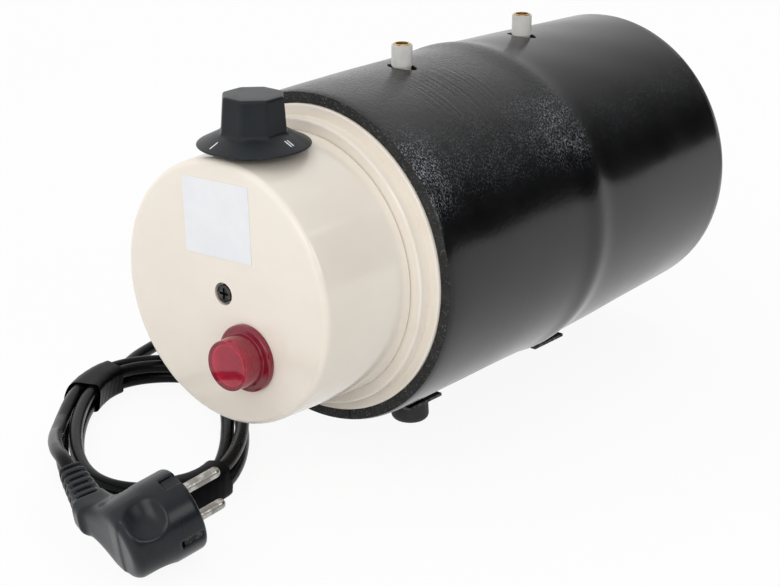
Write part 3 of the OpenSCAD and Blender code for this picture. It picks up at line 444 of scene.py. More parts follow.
def slit(depth):
    """Outline of a straight slit spread open in its middle: two arcs that meet in a point at either end."""
    arc_r = (SLIT_LEN**2 + SLIT_WIDTH**2) / 4 / SLIT_WIDTH
    x = np.linspace(-SLIT_LEN / 2, SLIT_LEN / 2, SLIT_STEPS)
    half = np.sqrt(arc_r**2 - x**2) - arc_r + SLIT_WIDTH / 2
    return np.vstack([coords(x, depth + half), coords(x, depth - half)[-2:0:-1]])


def cut(target, bars):
    """Take a list of bars out of a piece with an exact Boolean, and keep only the result."""
    points, faces, start = [], [], 0
    for bar_points, bar_faces in bars:
        points.append(bar_points)
        faces += [[k + start for k in face] for face in bar_faces]
        start += len(bar_points)
    cutter = piece("cutter", np.vstack(points), faces)
    change = target.modifiers.new("cut", "BOOLEAN")
    change.operation, change.solver, change.object = "DIFFERENCE", "EXACT", cutter
    result = target.evaluated_get(bpy.context.evaluated_depsgraph_get())
    old, mesh = target.data, bpy.data.meshes.new_from_object(result)
    target.modifiers.clear()
    target.data = mesh
    mesh.name = target.name
    bpy.data.meshes.remove(old)
    bpy.data.objects.remove(cutter)


slits = [prism(slit(d), BAR_IN, BAR_OUT) for d in STUBS]
foot_holes = [prism(hole(x, d, FOOT_HOLE_R), -BAR_OUT, -BAR_IN) for x, d in FOOT_HOLES]
nut_room_top = BODY_R - FOAM + NUT_ROOM_RISE
nut_rooms = [prism(hole(0, d, NUT_ROOM_R), BAR_IN, nut_room_top - drawn_in(d)) for d in STUBS]
cut(foam_wrap, slits + foot_holes)
cut(foam_wrap, nut_rooms)
smooth(foam_wrap.data)
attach(foam_wrap, "heater")
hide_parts("insulation_wrap")
print("wrap after cutting:", len(foam_wrap.data.polygons), "faces")

# %% [markdown]
# A disc of the same foam closes the rear. A cylinder with a bevel would look machined. This one is a
# little crowned, with a soft edge, and sits just inside the end of the wrap, so it is an outline of
# radius and depth turned once round the axis.

# %% Foam end disc
DISC_GAP, DISC_SIDES = 0.1, 128
DISC_R = BODY_R - FOAM - REAR_DRAW - DISC_GAP
DISC_FRONT, DISC_EDGE, DISC_MIDDLE = 296.1, 302.0, 303.0
DOME_R, DOME_FALL, DOME_STEPS = DISC_R * 0.97, 0.9, 12
DISC_ROUNDS = [0.8, 0.5]


def turned(name, outline):
    """An outline [radius, depth] turned round the heater's axis. Both its ends lie on the axis."""
    angle = once_round(DISC_SIDES)[:, None]
    points = about_axis(outline[None, :, 0], angle, outline[None, :, 1])
    return piece(name, points, grid_faces(*points.shape[:2], close_rows=True))


crown = np.linspace(0, 1, DOME_STEPS)[:, None]
dome = np.hstack([DOME_R * crown, DISC_MIDDLE - DOME_FALL * crown**4])
edge = rounded([dome[-1], [DISC_R, DISC_EDGE], [DISC_R, DISC_FRONT], [0, DISC_FRONT]], DISC_ROUNDS)
foam_end = turned("foam_end", np.vstack([dome[:-1], edge]))
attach(foam_end, "heater")
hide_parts("insulation_end_disc")

# %% [markdown]
# The knob has a grip with eight flats that narrows towards the top, on a round skirt like a hat's brim.
# It could be cut from a prism, but then every edge would be knife sharp. Here it is one grid of points:
# an outline turned round the knob's axis, whose radius follows an eight-sided figure on the grip and a
# circle on the skirt.

# %% Knob
KNOB_AT = np.array([0, -123.0, 155.04])
KNOB_SIDES, FLATS, FLAT_SHARPNESS = 192, 8, 52
GRIP_TOP, GRIP_FOOT = [13.25, 23.5, 1], [14.42, 7.4, 1]
SKIRT_IN, SKIRT_IN_Z = 17.6, 5.65
SKIRT_OUT, SKIRT_OUT_Z = 25.2, 1.75
GRIP = [[0, 23.7, 1], [7, 23.65, 1], GRIP_TOP, GRIP_FOOT, [15.8, 6.5, 0.25], [17, 5.95, 0]]
GRIP_ROUNDS = [2, 1.3, 1.0, 0.9]
SKIRT = [[SKIRT_IN, SKIRT_IN_Z], [SKIRT_OUT, SKIRT_OUT_Z], [25.5, 1.35], [25.1, 0.85], [22.9, 1.2]]
HOLLOW = [[12.5, 5.2], [11.3, 19.5], [8, 19.5], [8, 3.6], [3.05, 3.6], [3.05, 17], [0, 17]]
SKIRT_ROUNDS = [0.5, 0.3, 0.3, 0.4, 1, 1, 1, 0.3, 0.2, 0.4]


def eight_flats(angle):
    """Radius of a soft octagon with flats one unit from its middle: a power mean of the distances to its
    sides."""
    sides = np.radians(360 / FLATS) * np.arange(FLATS)
    reach = np.maximum(np.cos(angle[..., None] - sides), 0) ** FLAT_SHARPNESS
    return reach.sum(axis=-1) ** (-1 / FLAT_SHARPNESS)


def knob_surface():
    """An outline turned round an upright axis. Its rows are [radius, height, share of the flats]."""
    round_part = np.pad(rounded(SKIRT + HOLLOW, SKIRT_ROUNDS), ((0, 0), (0, 1)))
    r, height, flat = np.vstack([rounded(GRIP, GRIP_ROUNDS, 6), round_part]).T[:, None]
    angle = once_round(KNOB_SIDES)[:, None]
    r = r * (1 + (eight_flats(angle) - 1) * flat)
    return KNOB_AT + coords(r * np.cos(angle), r * np.sin(angle), height)


knob_points = knob_surface()
knob_faces = grid_faces(*knob_points.shape[:2], close_rows=True)
control_knob = piece("control_knob", knob_points, knob_faces, crease=40)
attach(control_knob, "knob")
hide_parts("knob")

# %% [markdown]
# Two settings are marked on the skirt by plain strokes, one stroke and two strokes. They could be drawn
# in the knob's material. Here each stroke is a thin pad of paint that follows the slope of the skirt, so
# it keeps a crisp edge, turns with the knob and reads from any side.

# %% Strokes on the knob
STROKE_LONG, STROKE_WIDE = 15, 9
STROKE_WIDTH, STROKE_RISE, STROKE_SINK = 0.75, 0.12, 0.25
ONE_ANGLE, ONE_FROM, ONE_TO = -101.5, 18.8, 23.5
TWO_ANGLE, TWO_FROM, TWO_TO, TWO_APART = 3.4, 17.9, 22.0, 0.8


def stroke(name, angle, near, far, shift=0.0):
    """A low pad on the skirt from one radius to another: a grid (u, v) whose width shrinks by sqrt(1-u^8) and
    whose height is (1-v^6)(1-u^12), closed underneath by the same grid a little lower."""
    u, v = np.meshgrid(np.linspace(-1, 1, STROKE_LONG), np.linspace(-1, 1, STROKE_WIDE), indexing="ij")
    along = (near + far) / 2 + (far - near) / 2 * u
    across = STROKE_WIDTH / 2 * v * np.sqrt(np.maximum(0, 1 - u**8)) + shift
    hump = STROKE_RISE * (1 - v**6) * (1 - u**12)
    height = SKIRT_OUT_Z + (SKIRT_OUT - along) * (SKIRT_IN_Z - SKIRT_OUT_Z) / (SKIRT_OUT - SKIRT_IN)
    a = math.radians(angle)
    x, y = along * math.cos(a) - across * math.sin(a), along * math.sin(a) + across * math.cos(a)
    top = coords(x, y, height + hump).reshape(-1, 3)
    number = np.arange(u.size).reshape(u.shape)
    rim = np.concatenate([number[0], number[1:, -1], number[-1, -2::-1], number[-2:0:-1, 0]])
    side = coords(rim, np.roll(rim, -1), np.roll(rim, -1) + u.size, rim + u.size)
    sheet = grid_faces(STROKE_LONG, STROKE_WIDE)
    points = KNOB_AT + np.vstack([top, top - [0, 0, STROKE_SINK]])
    made = piece(name, points, np.vstack([sheet, sheet + u.size, side]))
    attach(made, "knob")
    return made


strokes = [
    stroke("stroke_one", ONE_ANGLE, ONE_FROM, ONE_TO),
    stroke("stroke_two_a", TWO_ANGLE, TWO_FROM, TWO_TO, shift=-TWO_APART),
    stroke("stroke_two_b", TWO_ANGLE, TWO_FROM, TWO_TO, shift=TWO_APART),
]

# %% [markdown]
# The pilot lamp's lens is a red cap with a flat front, a slightly tapered barrel and a collar that rests
# on the cover. It is hollow, and the lamp sits inside. Cylinders joined by Booleans would have hard
# edges, so an outline with rounded corners is turned round the lamp's axis.

# %% Lamp lens
LAMP_X, LAMP_Z = 14.4, -26.5
LENS_R, LENS_OUT, LENS_TAPER, LENS_SIDES = 12.0, 14.0, 0.5, 96
COLLAR_R, COLLAR_THICK = 15.5, 3
NECK_R, NECK_END, BORE_R, LENS_WALL = 10.8, 13, 9.7, 1.8
BORE_FRONT = -LENS_OUT + LENS_WALL
LENS_ROUNDS = [0.8, 0.5, 1.2, 0.2, 0.2, 0.2, 0.2, 0.8]


def lens_surface():
    """Outline rows are [radius, depth], turned round the lamp's axis, which runs along Y."""
    barrel = [[0, -LENS_OUT], [LENS_R - LENS_TAPER, -LENS_OUT], [LENS_R, -COLLAR_THICK]]
    collar = [[COLLAR_R, -COLLAR_THICK], [COLLAR_R, 0], [NECK_R, 0]]
    inside = [[NECK_R, NECK_END], [BORE_R, NECK_END], [BORE_R, BORE_FRONT], [0, BORE_FRONT]]
    r, depth = rounded(barrel + collar + inside, LENS_ROUNDS, 6).T[:, None]
    angle = once_round(LENS_SIDES)[:, None]
    return coords(LAMP_X + r * np.cos(angle), FACE_Y + depth, AXIS_Z + LAMP_Z + r * np.sin(angle))


lens_points = lens_surface()
lamp_lens = piece("lamp_lens", lens_points, grid_faces(*lens_points.shape[:2], close_rows=True))
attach(lamp_lens, "heater")
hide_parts("pilot_lens")

# %% [markdown]
# The plug is a soft moulding: a round head melts into an arm, and the arm ends in a slotted boot. A grid
# of two parameters would fold over itself in the inner corner. So the plug is a field: a function that is
# negative inside and positive outside, built from simple distances and blended where parts meet. A net of
# quads is then drawn where the field is zero, with one point in each small cell that the surface crosses.

# %% Net over a field
def net(field, low, high, step):
    """Points and quads of the surface where a field is zero. A cell's point is the mean of the places where
    the surface crosses its edges, and each crossed edge makes a quad between the four cells round it.
    The field is first averaged with its neighbours twice, because a net on a knife edge can touch itself."""
    sizes = [np.arange(a, b, step) for a, b in zip(low, high)]
    f = field(*np.meshgrid(*sizes, indexing="ij"))
    for axis in (0, 1, 2, 0, 1, 2):
        f = (np.roll(f, 1, axis) + 2 * f + np.roll(f, -1, axis)) / 4
    cells = np.array(f.shape) - 1
    total, count = np.zeros((*cells, 3)), np.zeros(cells)
    crossed = []
    for axis in range(3):
        f0, f1 = np.take(f, range(cells[axis]), axis), np.take(f, range(1, cells[axis] + 1), axis)
        cross = (f0 < 0) != (f1 < 0)
        crossed.append(cross)
        share = np.where(cross, f0 / np.where(cross, f0 - f1, 1), 0)
        others = [k for k in range(3) if k != axis]
        for shift in ((0, 0), (0, 1), (1, 0), (1, 1)):
            pick = [slice(None)] * 3
            offset = np.zeros(3)
            for k, s in zip(others, shift):
                pick[k] = slice(s, s + cells[k])
                offset[k] = s
            here = cross[tuple(pick)]
            count += here
            total += here[..., None] * offset
            total[..., axis] += share[tuple(pick)]
    used = count > 0
    number = np.full(cells, -1)
    number[used] = np.arange(used.sum())
    where = np.argwhere(used) + total[used] / count[used][:, None]
    quads = []
    for axis in range(3):
        others = [k for k in range(3) if k != axis]
        at = np.argwhere(crossed[axis])
        at = at[(at[:, others] > 0).all(axis=1) & (at[:, others] < cells[others]).all(axis=1)]
        corner = []
        for shift in ((0, 0), (1, 0), (1, 1), (0, 1)):
            cell = at.copy()
            cell[:, others] -= shift
            corner.append(number[tuple(cell.T)])
        quads.append(coords(*corner))
    return np.array(low) + where * step, np.vstack(quads)


def blend(a, b, width):
    """Smooth union of two fields: the smaller one, less a little where they are close."""
    h = np.maximum(width - np.abs(a - b), 0) / width
    return np.minimum(a, b) - h**2 * width / 4


def meet(a, b, width):
    """What lies inside both fields, with a soft edge."""
    return -blend(-a, -b, width)


def carve(a, b, width):
    """Field a with field b taken out, with a soft edge."""
    return meet(a, -b, width)


def within(*fields):
    """What lies inside all fields, with sharp edges: the largest of them."""
    return np.maximum.reduce(fields)


def power_sum(a, b, power):
    """Length of (a, b) in a power norm: 2 gives a circle, a high power gives a square with soft corners."""
    return (np.abs(a) ** power + np.abs(b) ** power) ** (1 / power)


print("a blend of two equal fields lies", -blend(0.0, 0.0, 2.0), "mm outside them when it is 2 mm wide")

# %% [markdown]
# The field's parts are the plug's own: a head, a neck that joins it to the arm, and a boot with cross
# slots that let the lead bend. Thumb scoops, grooves for the socket's guides, holes for the pins and
# seats for the earth clips are carved out on both sides. Where the plug would reach through the floor it
# is cut flat.

# %% Plug
FACE_R, PLUG_FRONT, PLUG_BACK = 18.7, 18.0, -15.5
HEAD_AT, HEAD_R = [PLUG_BACK, -12, 4, PLUG_FRONT], [16.6, 17.2, FACE_R, FACE_R]
FRONT_ROUND, BACK_ROUND, JOIN_ROUND = 2.2, 4.5, 3
NECK_FROM, NECK_TO, NECK_GROWS, NECK_SQUARE = -26, 3, 24, 4.5
BOOT_FROM, BOOT_AT, BOOT_R, BOOT_SQUARE = 20, [16, 24, 50.5], [8.0, 7.6, 5.6], 3.6
SLOT_PITCH, SLOT_FIRST, SLOT_COUNT = 4.2, 27.3, 6
SLOT_HALF, SLOT_REACH, SLOT_DEEP = 0.95, 4.4, 1.8
THUMB_ANGLE, THUMB_HALF = math.radians(60), math.radians(42)
THUMB_Y, THUMB_LONG, THUMB_R, THUMB_DEEP, THUMB_FADE = -4.8, 9.4, 21.2, 6.9, 7
GUIDE_HALF, GUIDE_FROM, GUIDE_DEEP = 3, 10, 2.2
PIN_SIDE, PIN_HOLE, PIN_HOLE_END = 9.5, 2.5, -1.2
CLIP_Y, CLIP_HALF_LONG, CLIP_HALF_WIDE, CLIP_DEEP = 10.8, 5.2, 1.9, 2.4
FLOOR_GAP = 0.3
PLUG_LOW, PLUG_HIGH, NET_STEP = (-53.5, -25, -20.2), (20.5, 19.5, 20.4), 0.42


def plug_head(r, y):
    """A round head that narrows towards the back, with a small round at the front and a larger one behind."""
    shoulder = np.interp(y, HEAD_AT, HEAD_R)
    return meet(meet(r - shoulder, y - PLUG_FRONT, FRONT_ROUND), PLUG_BACK - y, BACK_ROUND)


def plug_neck(x, y, z):
    """A bar with soft corners whose back, front and half height grow from the arm towards the head."""
    u = np.clip((x - NECK_FROM) / NECK_GROWS, 0, 1)
    back, front, half = -20.3 + 5.0 * u, -5.0 + 6 * u, 7.7 + 7.6 * u**1.3
    deep = (front - back) / 2
    bar = power_sum((y - (front + back) / 2) / deep, z / half, NECK_SQUARE) - 1
    bar = bar * np.minimum(deep, half)
    return within(bar, x - NECK_TO, NECK_FROM - x)


def boot_slots(s, n, z, boot_r):
    """Slots from all four sides of the boot. A place belongs to the nearest of evenly spaced slots."""
    place = np.clip(np.round((s - SLOT_FIRST) / SLOT_PITCH), 0, SLOT_COUNT - 1)
    off_slot = np.abs(s - (SLOT_FIRST + SLOT_PITCH * place)) - SLOT_HALF
    reach, other = np.maximum(np.abs(n), np.abs(z)), np.minimum(np.abs(n), np.abs(z))
    return within(off_slot, other - SLOT_REACH, boot_r - SLOT_DEEP - reach)


def side_cuts(solid, x, y, z, r, side):
    """One side's scoop for a thumb, groove for a guide, hole for a pin and seat for an earth clip."""
    aside = (np.arctan2(side * z, x) - THUMB_ANGLE) / THUMB_HALF
    off_thumb = np.hypot((y - THUMB_Y) / THUMB_LONG, (r - THUMB_R - THUMB_FADE * aside**2) / THUMB_DEEP)
    solid = carve(solid, THUMB_FADE * off_thumb - THUMB_FADE, 0.8)
    guide = within(np.abs(x) - GUIDE_HALF, GUIDE_FROM - y, FACE_R - GUIDE_DEEP - side * z)
    solid = carve(solid, guide, 0.4)
    pin = within(np.hypot(x, z - side * PIN_SIDE) - PIN_HOLE, PIN_HOLE_END - y)
    solid = within(solid, -pin)
    seat = within(np.abs(y - CLIP_Y) - CLIP_HALF_LONG, np.abs(z) - CLIP_HALF_WIDE)
    return carve(solid, within(seat, FACE_R - CLIP_DEEP - side * x), 0.5)


def plug_field(x, y, z):
    """The plug in its own frame: pins along +Y, arm towards -X. Here s runs along the arm and n across it."""
    r = np.hypot(x, z)
    s = (x - ARM_START[0]) * ARM_DIR[0] + (y - ARM_START[1]) * ARM_DIR[1]
    n = (x - ARM_START[0]) * -ARM_DIR[1] + (y - ARM_START[1]) * ARM_DIR[0]
    boot_r = np.interp(s, BOOT_AT, BOOT_R)
    boot = within(meet(power_sum(n, z, BOOT_SQUARE) - boot_r, s - ARM_LEN, 1.2), BOOT_FROM - s)
    solid = blend(blend(plug_neck(x, y, z), plug_head(r, y), JOIN_ROUND), boot, JOIN_ROUND)
    solid = carve(solid, boot_slots(s, n, z, boot_r), 0.4)
    for side in (-1, 1):
        solid = side_cuts(solid, x, y, z, r, side)
    above_floor = PLUG_AT[2] + x * PLUG_FRAME[2, 0] + y * PLUG_FRAME[2, 1] + z * PLUG_FRAME[2, 2]
    return carve(solid, above_floor - FLOOR_GAP, 1.2)


plug_points, plug_faces = net(plug_field, PLUG_LOW, PLUG_HIGH, NET_STEP)
mains_plug = piece("mains_plug", from_plug(plug_points), plug_faces, crease=75, merge=0.01)
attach(mains_plug, "heater")
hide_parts("plug_body")

# %% [markdown]
# The lead's real length and its start at the gland are printed last of the shapes.

print("lead declared:", round(cord_length * MM, 3), "m, from", GLAND_MOUTH.round(1), "to the plug")

# %% [markdown]
# Finishes are node materials, and much of a node material is arithmetic. Placing Math nodes one by one is
# hard to read back. One small class wraps a socket, so that shader maths can be written as plain sums.

# %% Sums of sockets
class Shade:
    """An output socket that can stand in a sum. Each operation adds one Math node."""

    def __init__(self, socket):
        self.socket = socket

    def calc(self, operation, first, second):
        """A Math node with an operation on two sockets or numbers."""
        node = self.socket.id_data.nodes.new("ShaderNodeMath")
        node.operation = operation
        fill(node.inputs[0], first)
        fill(node.inputs[1], second)
        return Shade(node.outputs[0])

    def __add__(self, other):
        return self.calc("ADD", self, other)

    def __sub__(self, other):
        return self.calc("SUBTRACT", self, other)

    def __rsub__(self, other):
        return self.calc("SUBTRACT", other, self)

    def __mul__(self, other):
        return self.calc("MULTIPLY", self, other)

    __radd__, __rmul__ = __add__, __mul__


def fill(socket, value):
    """Link a Shade to a socket, or set the socket's own value. Colours may be given without alpha."""
    if isinstance(value, Shade):
        socket.id_data.links.new(value.socket, socket)
    else:
        socket.default_value = (*value, 1) if socket.type == "RGBA" and len(value) == 3 else value


print("sockets can be added, subtracted and multiplied")

# %% [markdown]
# Every other kind of node comes from one method, and the patterns that most finishes share have methods
# of their own. Patterns are read from Object coordinates, in metres, so they stay on the piece.

# %% Finishes as node trees
class Nodes:
    """A node tree to which nodes are added with one method."""

    def __init__(self, tree):
        self.tree = tree

    def add(self, kind, settings=(), inputs=(), output=0):
        """A new node of a kind: its settings first, then the values or links of its sockets."""
        node = self.tree.nodes.new("ShaderNode" + kind)
        for key, value in dict(settings).items():
            setattr(node, key, value)
        for key, value in dict(inputs).items():
            fill(node.inputs[key], value)
        return Shade(node.outputs[output])

    def mix(self, factor, a, b):
        """Colour a where the factor is 0, colour b where it is 1."""
        return self.add("Mix", {"data_type": "RGBA"}, {0: factor, 6: a, 7: b}, output=2)

    def step(self, value, low, high, start=0.0, end=1.0):
        """A soft step from start to end as the value goes from low to high."""
        sockets = {"Value": value, "From Min": low, "From Max": high, "To Min": start, "To Max": end}
        return self.add("MapRange", {"interpolation_type": "SMOOTHSTEP"}, sockets)


class Finish(Nodes):
    """A material with one Principled shader. Values that are the same all over are set on its own sockets."""

    def __init__(self, name, **fixed):
        self.material = bpy.data.materials.new(name)
        self.material.use_nodes = True
        super().__init__(self.material.node_tree)
        self.shader = self.tree.nodes["Principled BSDF"]
        for key, value in fixed.items():
            self.set(key.replace("_", " ").title().replace("Ior", "IOR"), value)
        self.place = self.add("TexCoord", output="Object")

    def set(self, name, value):
        """Give one of the shader's sockets a value or a link."""
        fill(self.shader.inputs[name], value)

    def noise(self, size, detail=3.0, stretch=(1, 1, 1), roughness=0.55):
        """Cloudy pattern from about 0.3 to 0.7, with spots of a size in millimetres."""
        place = self.add("Mapping", {}, {"Vector": self.place, "Scale": stretch})
        sockets = {"Vector": place, "Scale": 1 / (size * MM), "Detail": detail, "Roughness": roughness}
        return self.add("TexNoise", {}, sockets)

    def cells(self, size):
        """Distance from the middle of small cells of a size in millimetres."""
        return self.add("TexVoronoi", {}, {"Vector": self.place, "Scale": 1 / (size * MM)})

    def bump(self, height, depth, strength=1.0):
        """Let a pattern of 0 to 1 stand out by a depth in millimetres."""
        sockets = {"Height": height, "Distance": depth * MM, "Strength": strength}
        self.set("Normal", self.add("Bump", {}, sockets))

    def show_mix(self, share, shader):
        """Show another shader in place of the Principled one, as far as a share of 0 to 1 says."""
        both = self.add("MixShader", {}, {0: share, 1: Shade(self.shader.outputs[0]), 2: shader})
        fill(self.tree.nodes["Material Output"].inputs["Surface"], both)


print("materials before the first finish:", len(bpy.data.materials))

# %% [markdown]
# Most hard parts are moulded plastic or rubber: an even colour with faint clouds, a fine grain that
# breaks up the gloss, and scuffs where the part has been handled. A plain colour would look like a
# drawing, and a separate material for each part would repeat itself. One recipe serves them all, with its
# own numbers for each.

# %% Moulded plastics and rubbers
def moulded(name, dark, light, gloss, grain=0.5, depth=0.01, cloud=28, **fixed):
    """Clouds between two tones, roughness round a value, and a grain that stands out by a depth in mm."""
    look = Finish(name, **fixed)
    clouds = look.step(look.noise(cloud, 4), 0.32, 0.68)
    fine = look.noise(grain, 2)
    scuffs = look.step(look.noise(6, 5, (1, 1, 0.25)), 0.56, 0.72)
    look.set("Base Color", look.mix(clouds, dark, light))
    look.set("Roughness", gloss - 0.03 + clouds * 0.05 + fine * 0.04 + scuffs * 0.05)
    look.bump(fine, depth)
    return look.material


cream = moulded("cream_plastic", (0.83, 0.76, 0.665), (0.86, 0.795, 0.705), 0.13, 0.9, 0.002, 45)
dark_plastic = moulded("dark_plastic", (0.016, 0.020, 0.025), (0.024, 0.029, 0.036), 0.40, 0.35, 0.012,
                       specular_ior_level=0.4)
knob_plastic = moulded("knob_plastic", (0.0080, 0.0105, 0.0135), (0.0125, 0.0155, 0.0190), 0.36, 0.35, 0.012,
                       specular_ior_level=0.24)
white_plastic = moulded("white_plastic", (0.70, 0.69, 0.64), (0.80, 0.79, 0.75), 0.4, 0.6, 0.008)
sleeve_grey = moulded("sleeve_grey", (0.60, 0.595, 0.57), (0.68, 0.675, 0.65), 0.46, 0.4, 0.01, 9)
rubber = moulded("rubber", (0.012, 0.012, 0.013), (0.03, 0.03, 0.031), 0.62, 0.45, 0.03, 8)
gland_black = moulded("gland_black", (0.011, 0.012, 0.014), (0.022, 0.023, 0.026), 0.45, 0.4, 0.015, 10)
plug_rubber = moulded("plug_rubber", (0.0060, 0.0078, 0.0110), (0.0105, 0.0130, 0.0170), 0.26, 0.3, 0.006, 16,
                      specular_ior_level=0.30)
wire_blue = moulded("wire_blue", (0.02, 0.045, 0.26), (0.04, 0.08, 0.36), 0.4, 0.3, 0.01, 7)
brown_resin = moulded("brown_resin", (0.05, 0.025, 0.014), (0.09, 0.045, 0.025), 0.35, 0.4, 0.01, 9)
stroke_paint = moulded("stroke_paint", (0.72, 0.73, 0.74), (0.82, 0.83, 0.83), 0.5, 0.3, 0.01, 3)
gasket_fibre = moulded("gasket_fibre", (0.14, 0.12, 0.10), (0.24, 0.21, 0.17), 0.8, 0.7, 0.05, 5)
clear_glass = moulded("clear_glass", (0.9, 0.9, 0.9), (0.95, 0.95, 0.95), 0.05, 2, 0.01, 9,
                      transmission_weight=1.0)
print("materials with the moulded finishes:", len(bpy.data.materials))

# %% [markdown]
# The metals share a recipe too: two tones of the metal, a roughness that clouds over where it has dulled,
# and fine turning lines that run across the height. One even metal would mirror the room like chrome,
# which none of these parts does.

# %% Metals
def metal(name, dull, bright, gloss, line=0.25, depth=0.004, cloud=6):
    """Dull and bright tones in clouds, with fine lines of a width in millimetres."""
    look = Finish(name, metallic=1.0)
    clouds = look.step(look.noise(cloud, 5), 0.38, 0.66)
    lines = look.noise(line, 2, (0.08, 0.08, 1))
    look.set("Base Color", look.mix(clouds, dull, bright))
    look.set("Roughness", gloss + 0.18 - clouds * 0.18 + lines * 0.06)
    look.bump(lines, depth)
    return look.material


brass = metal("brass", (0.52, 0.34, 0.16), (0.86, 0.64, 0.34), 0.20, cloud=2.2)
steel = metal("steel", (0.36, 0.35, 0.34), (0.62, 0.61, 0.60), 0.28)
copper = metal("copper", (0.45, 0.2, 0.12), (0.75, 0.38, 0.24), 0.25)
nickel = metal("nickel", (0.27, 0.255, 0.235), (0.50, 0.48, 0.45), 0.2, cloud=4)
black_steel = metal("black_steel", (0.03, 0.03, 0.03), (0.09, 0.088, 0.085), 0.34, cloud=3)
element_sheath = metal("element_sheath", (0.16, 0.15, 0.14), (0.32, 0.31, 0.29), 0.4)
print("materials with the metals:", len(bpy.data.materials))

# %% [markdown]
# The foam has two faces. Its outer skin is black and glossy, like wet rubber: fine pores, creases that
# run round the body, and puckers beside a stub. High on the right, in front of the seam, pale specks
# stand for the sparkle of small dents, because dents fine enough would cost millions of faces. Where the
# sheet was cut, at its front edge and in the slits, open cells make it dull.

# %% Foam finishes
PUCKERS_AT = (0.030, -0.022, 0.166)


def foam_skin_look():
    """Skin: two blacks in clouds, gloss broken by pores, creases and dents, with pale specks of painted
    sparkle high on the right. Depths and heights are in metres. The rear half and the lower part are
    smoother."""
    look = Finish("foam_skin", specular_ior_level=0.43)
    aside, depth, height = (look.add("SeparateXYZ", {}, {"Vector": look.place}, output=k) for k in range(3))
    front = look.step(depth, 0.030, 0.042, 1.0, 0.10) * look.step(height, 0.108, 0.138, 0.12, 1.0)
    clouds = look.step(look.noise(30, 4), 0.3, 0.7)
    pores = look.noise(0.8, 2)
    dents = look.step(look.noise(0.95, 2, (0.4, 1, 0.4)), 0.30, 0.70)
    creases = look.step(look.noise(1.7, 4, (0.06, 1, 0.06)), 0.34, 0.66)
    patches = look.step(look.noise(26, 3, (0.6, 1, 0.6)), 0.40, 0.62)
    to_stub = {0: look.place, 1: PUCKERS_AT}
    from_stub = look.add("VectorMath", {"operation": "DISTANCE"}, to_stub, output="Value")
    by_stub = look.step(from_stub, 0.010, 0.034, 1.0, 0.0)
    black = look.mix(clouds * 0.6 + dents * 0.3, (0.0020, 0.0021, 0.0023), (0.0048, 0.0049, 0.0053))
    # Painted sparkle: pale specks of (0.33, 0.35, 0.39) stand in for glints of light on small dents. They are
    # kept to a band high on the right and grow towards the front edge and the seam, where the glints fall.
    band = look.step(height, 0.120, 0.143) * look.step(height, 0.145, 0.166, 1.0, 0.0)
    band = band * look.step(aside, 0.02, 0.05)
    ends = look.step(depth, -0.080, -0.056, 0.75, 0.0) + look.step(depth, -0.010, 0.030, 0.0, 0.55)
    specks = look.step(look.noise(0.5, 1, (0.5, 1, 0.5)), 0.48, 0.70)
    specks = specks * look.step(look.noise(9, 3), 0.34, 0.6, 0.35)
    look.set("Base Color", look.mix(specks * band * front * (ends + 0.22), black, (0.33, 0.35, 0.39)))
    look.set("Roughness", 0.14 + clouds * 0.04 + patches * 0.03 + pores * 0.06)
    folds = creases * (front * patches * 0.24 + by_stub * 2.2 + 0.06)
    look.bump(front * (pores * 0.35 + dents * 0.9) + folds + clouds * 0.3, 0.12, 0.9)
    return look.material


def foam_cut_look():
    """Cut face: dark, dull, with pits and pale specks of open cells."""
    look = Finish("foam_cut")
    specks = look.step(look.noise(0.7, 2), 0.60, 0.70)
    clouds = look.step(look.noise(9, 3), 0.3, 0.7)
    dark = look.mix(clouds, (0.011, 0.011, 0.011), (0.022, 0.022, 0.022))
    look.set("Base Color", look.mix(specks * 0.8, dark, (0.13, 0.13, 0.125)))
    look.set("Roughness", 0.92 - specks * 0.25)
    look.bump(look.cells(0.9), 0.35, 0.8)
    return look.material


foam_skin, foam_cut = foam_skin_look(), foam_cut_look()
print("nodes in the foam's skin:", len(foam_skin.node_tree.nodes))

# %% [markdown]
# The lens is tinted acrylic, so light goes through its front, while the barrel and the collar show a
# darker red, as thick tinted plastic does seen edge on. The label is smooth white film. The lead has a
# soft plastic sheath, and the tape is thin vinyl; both are black with small scuffs, so they share a
# recipe.

# %% Lens, label, lead and tape
LENS_CLEAR_END, LENS_FULL_AT = FACE_Y - LENS_OUT + 0.8, FACE_Y - 7


def lens_look():
    """Red acrylic: a see-through front, then a share of solid dark red that grows towards the collar."""
    look = Finish("lens_red", transmission_weight=0.8, ior=1.49, specular_ior_level=0.35)
    clouds = look.step(look.noise(7, 3), 0.3, 0.7)
    look.set("Base Color", look.mix(clouds, (0.96, 0.065, 0.145), (0.99, 0.085, 0.175)))
    look.set("Roughness", 0.03 + look.noise(2.5, 3) * 0.05)
    look.bump(look.noise(5, 2), 0.01)
    depth = look.add("SeparateXYZ", {}, {"Vector": look.place}, output=1)
    share = look.step(depth, LENS_CLEAR_END * MM, LENS_FULL_AT * MM, 0.0, 0.65)
    sockets = {"Base Color": (0.20, 0.003, 0.014), "Roughness": 0.12, "Coat Weight": 0.3}
    look.show_mix(share, look.add("BsdfPrincipled", {}, sockets))
    return look.material


def film_look():
    """White film: hardly any cloud, a fine skin and a thin satin gloss."""
    look = Finish("label_film", coat_weight=0.2, coat_roughness=0.2)
    clouds = look.step(look.noise(12, 3), 0.3, 0.7)
    fine = look.noise(0.6, 2)
    look.set("Base Color", look.mix(clouds, (0.80, 0.815, 0.84), (0.83, 0.845, 0.865)))
    look.set("Roughness", 0.38 + fine * 0.08)
    look.bump(fine, 0.004)
    return look.material


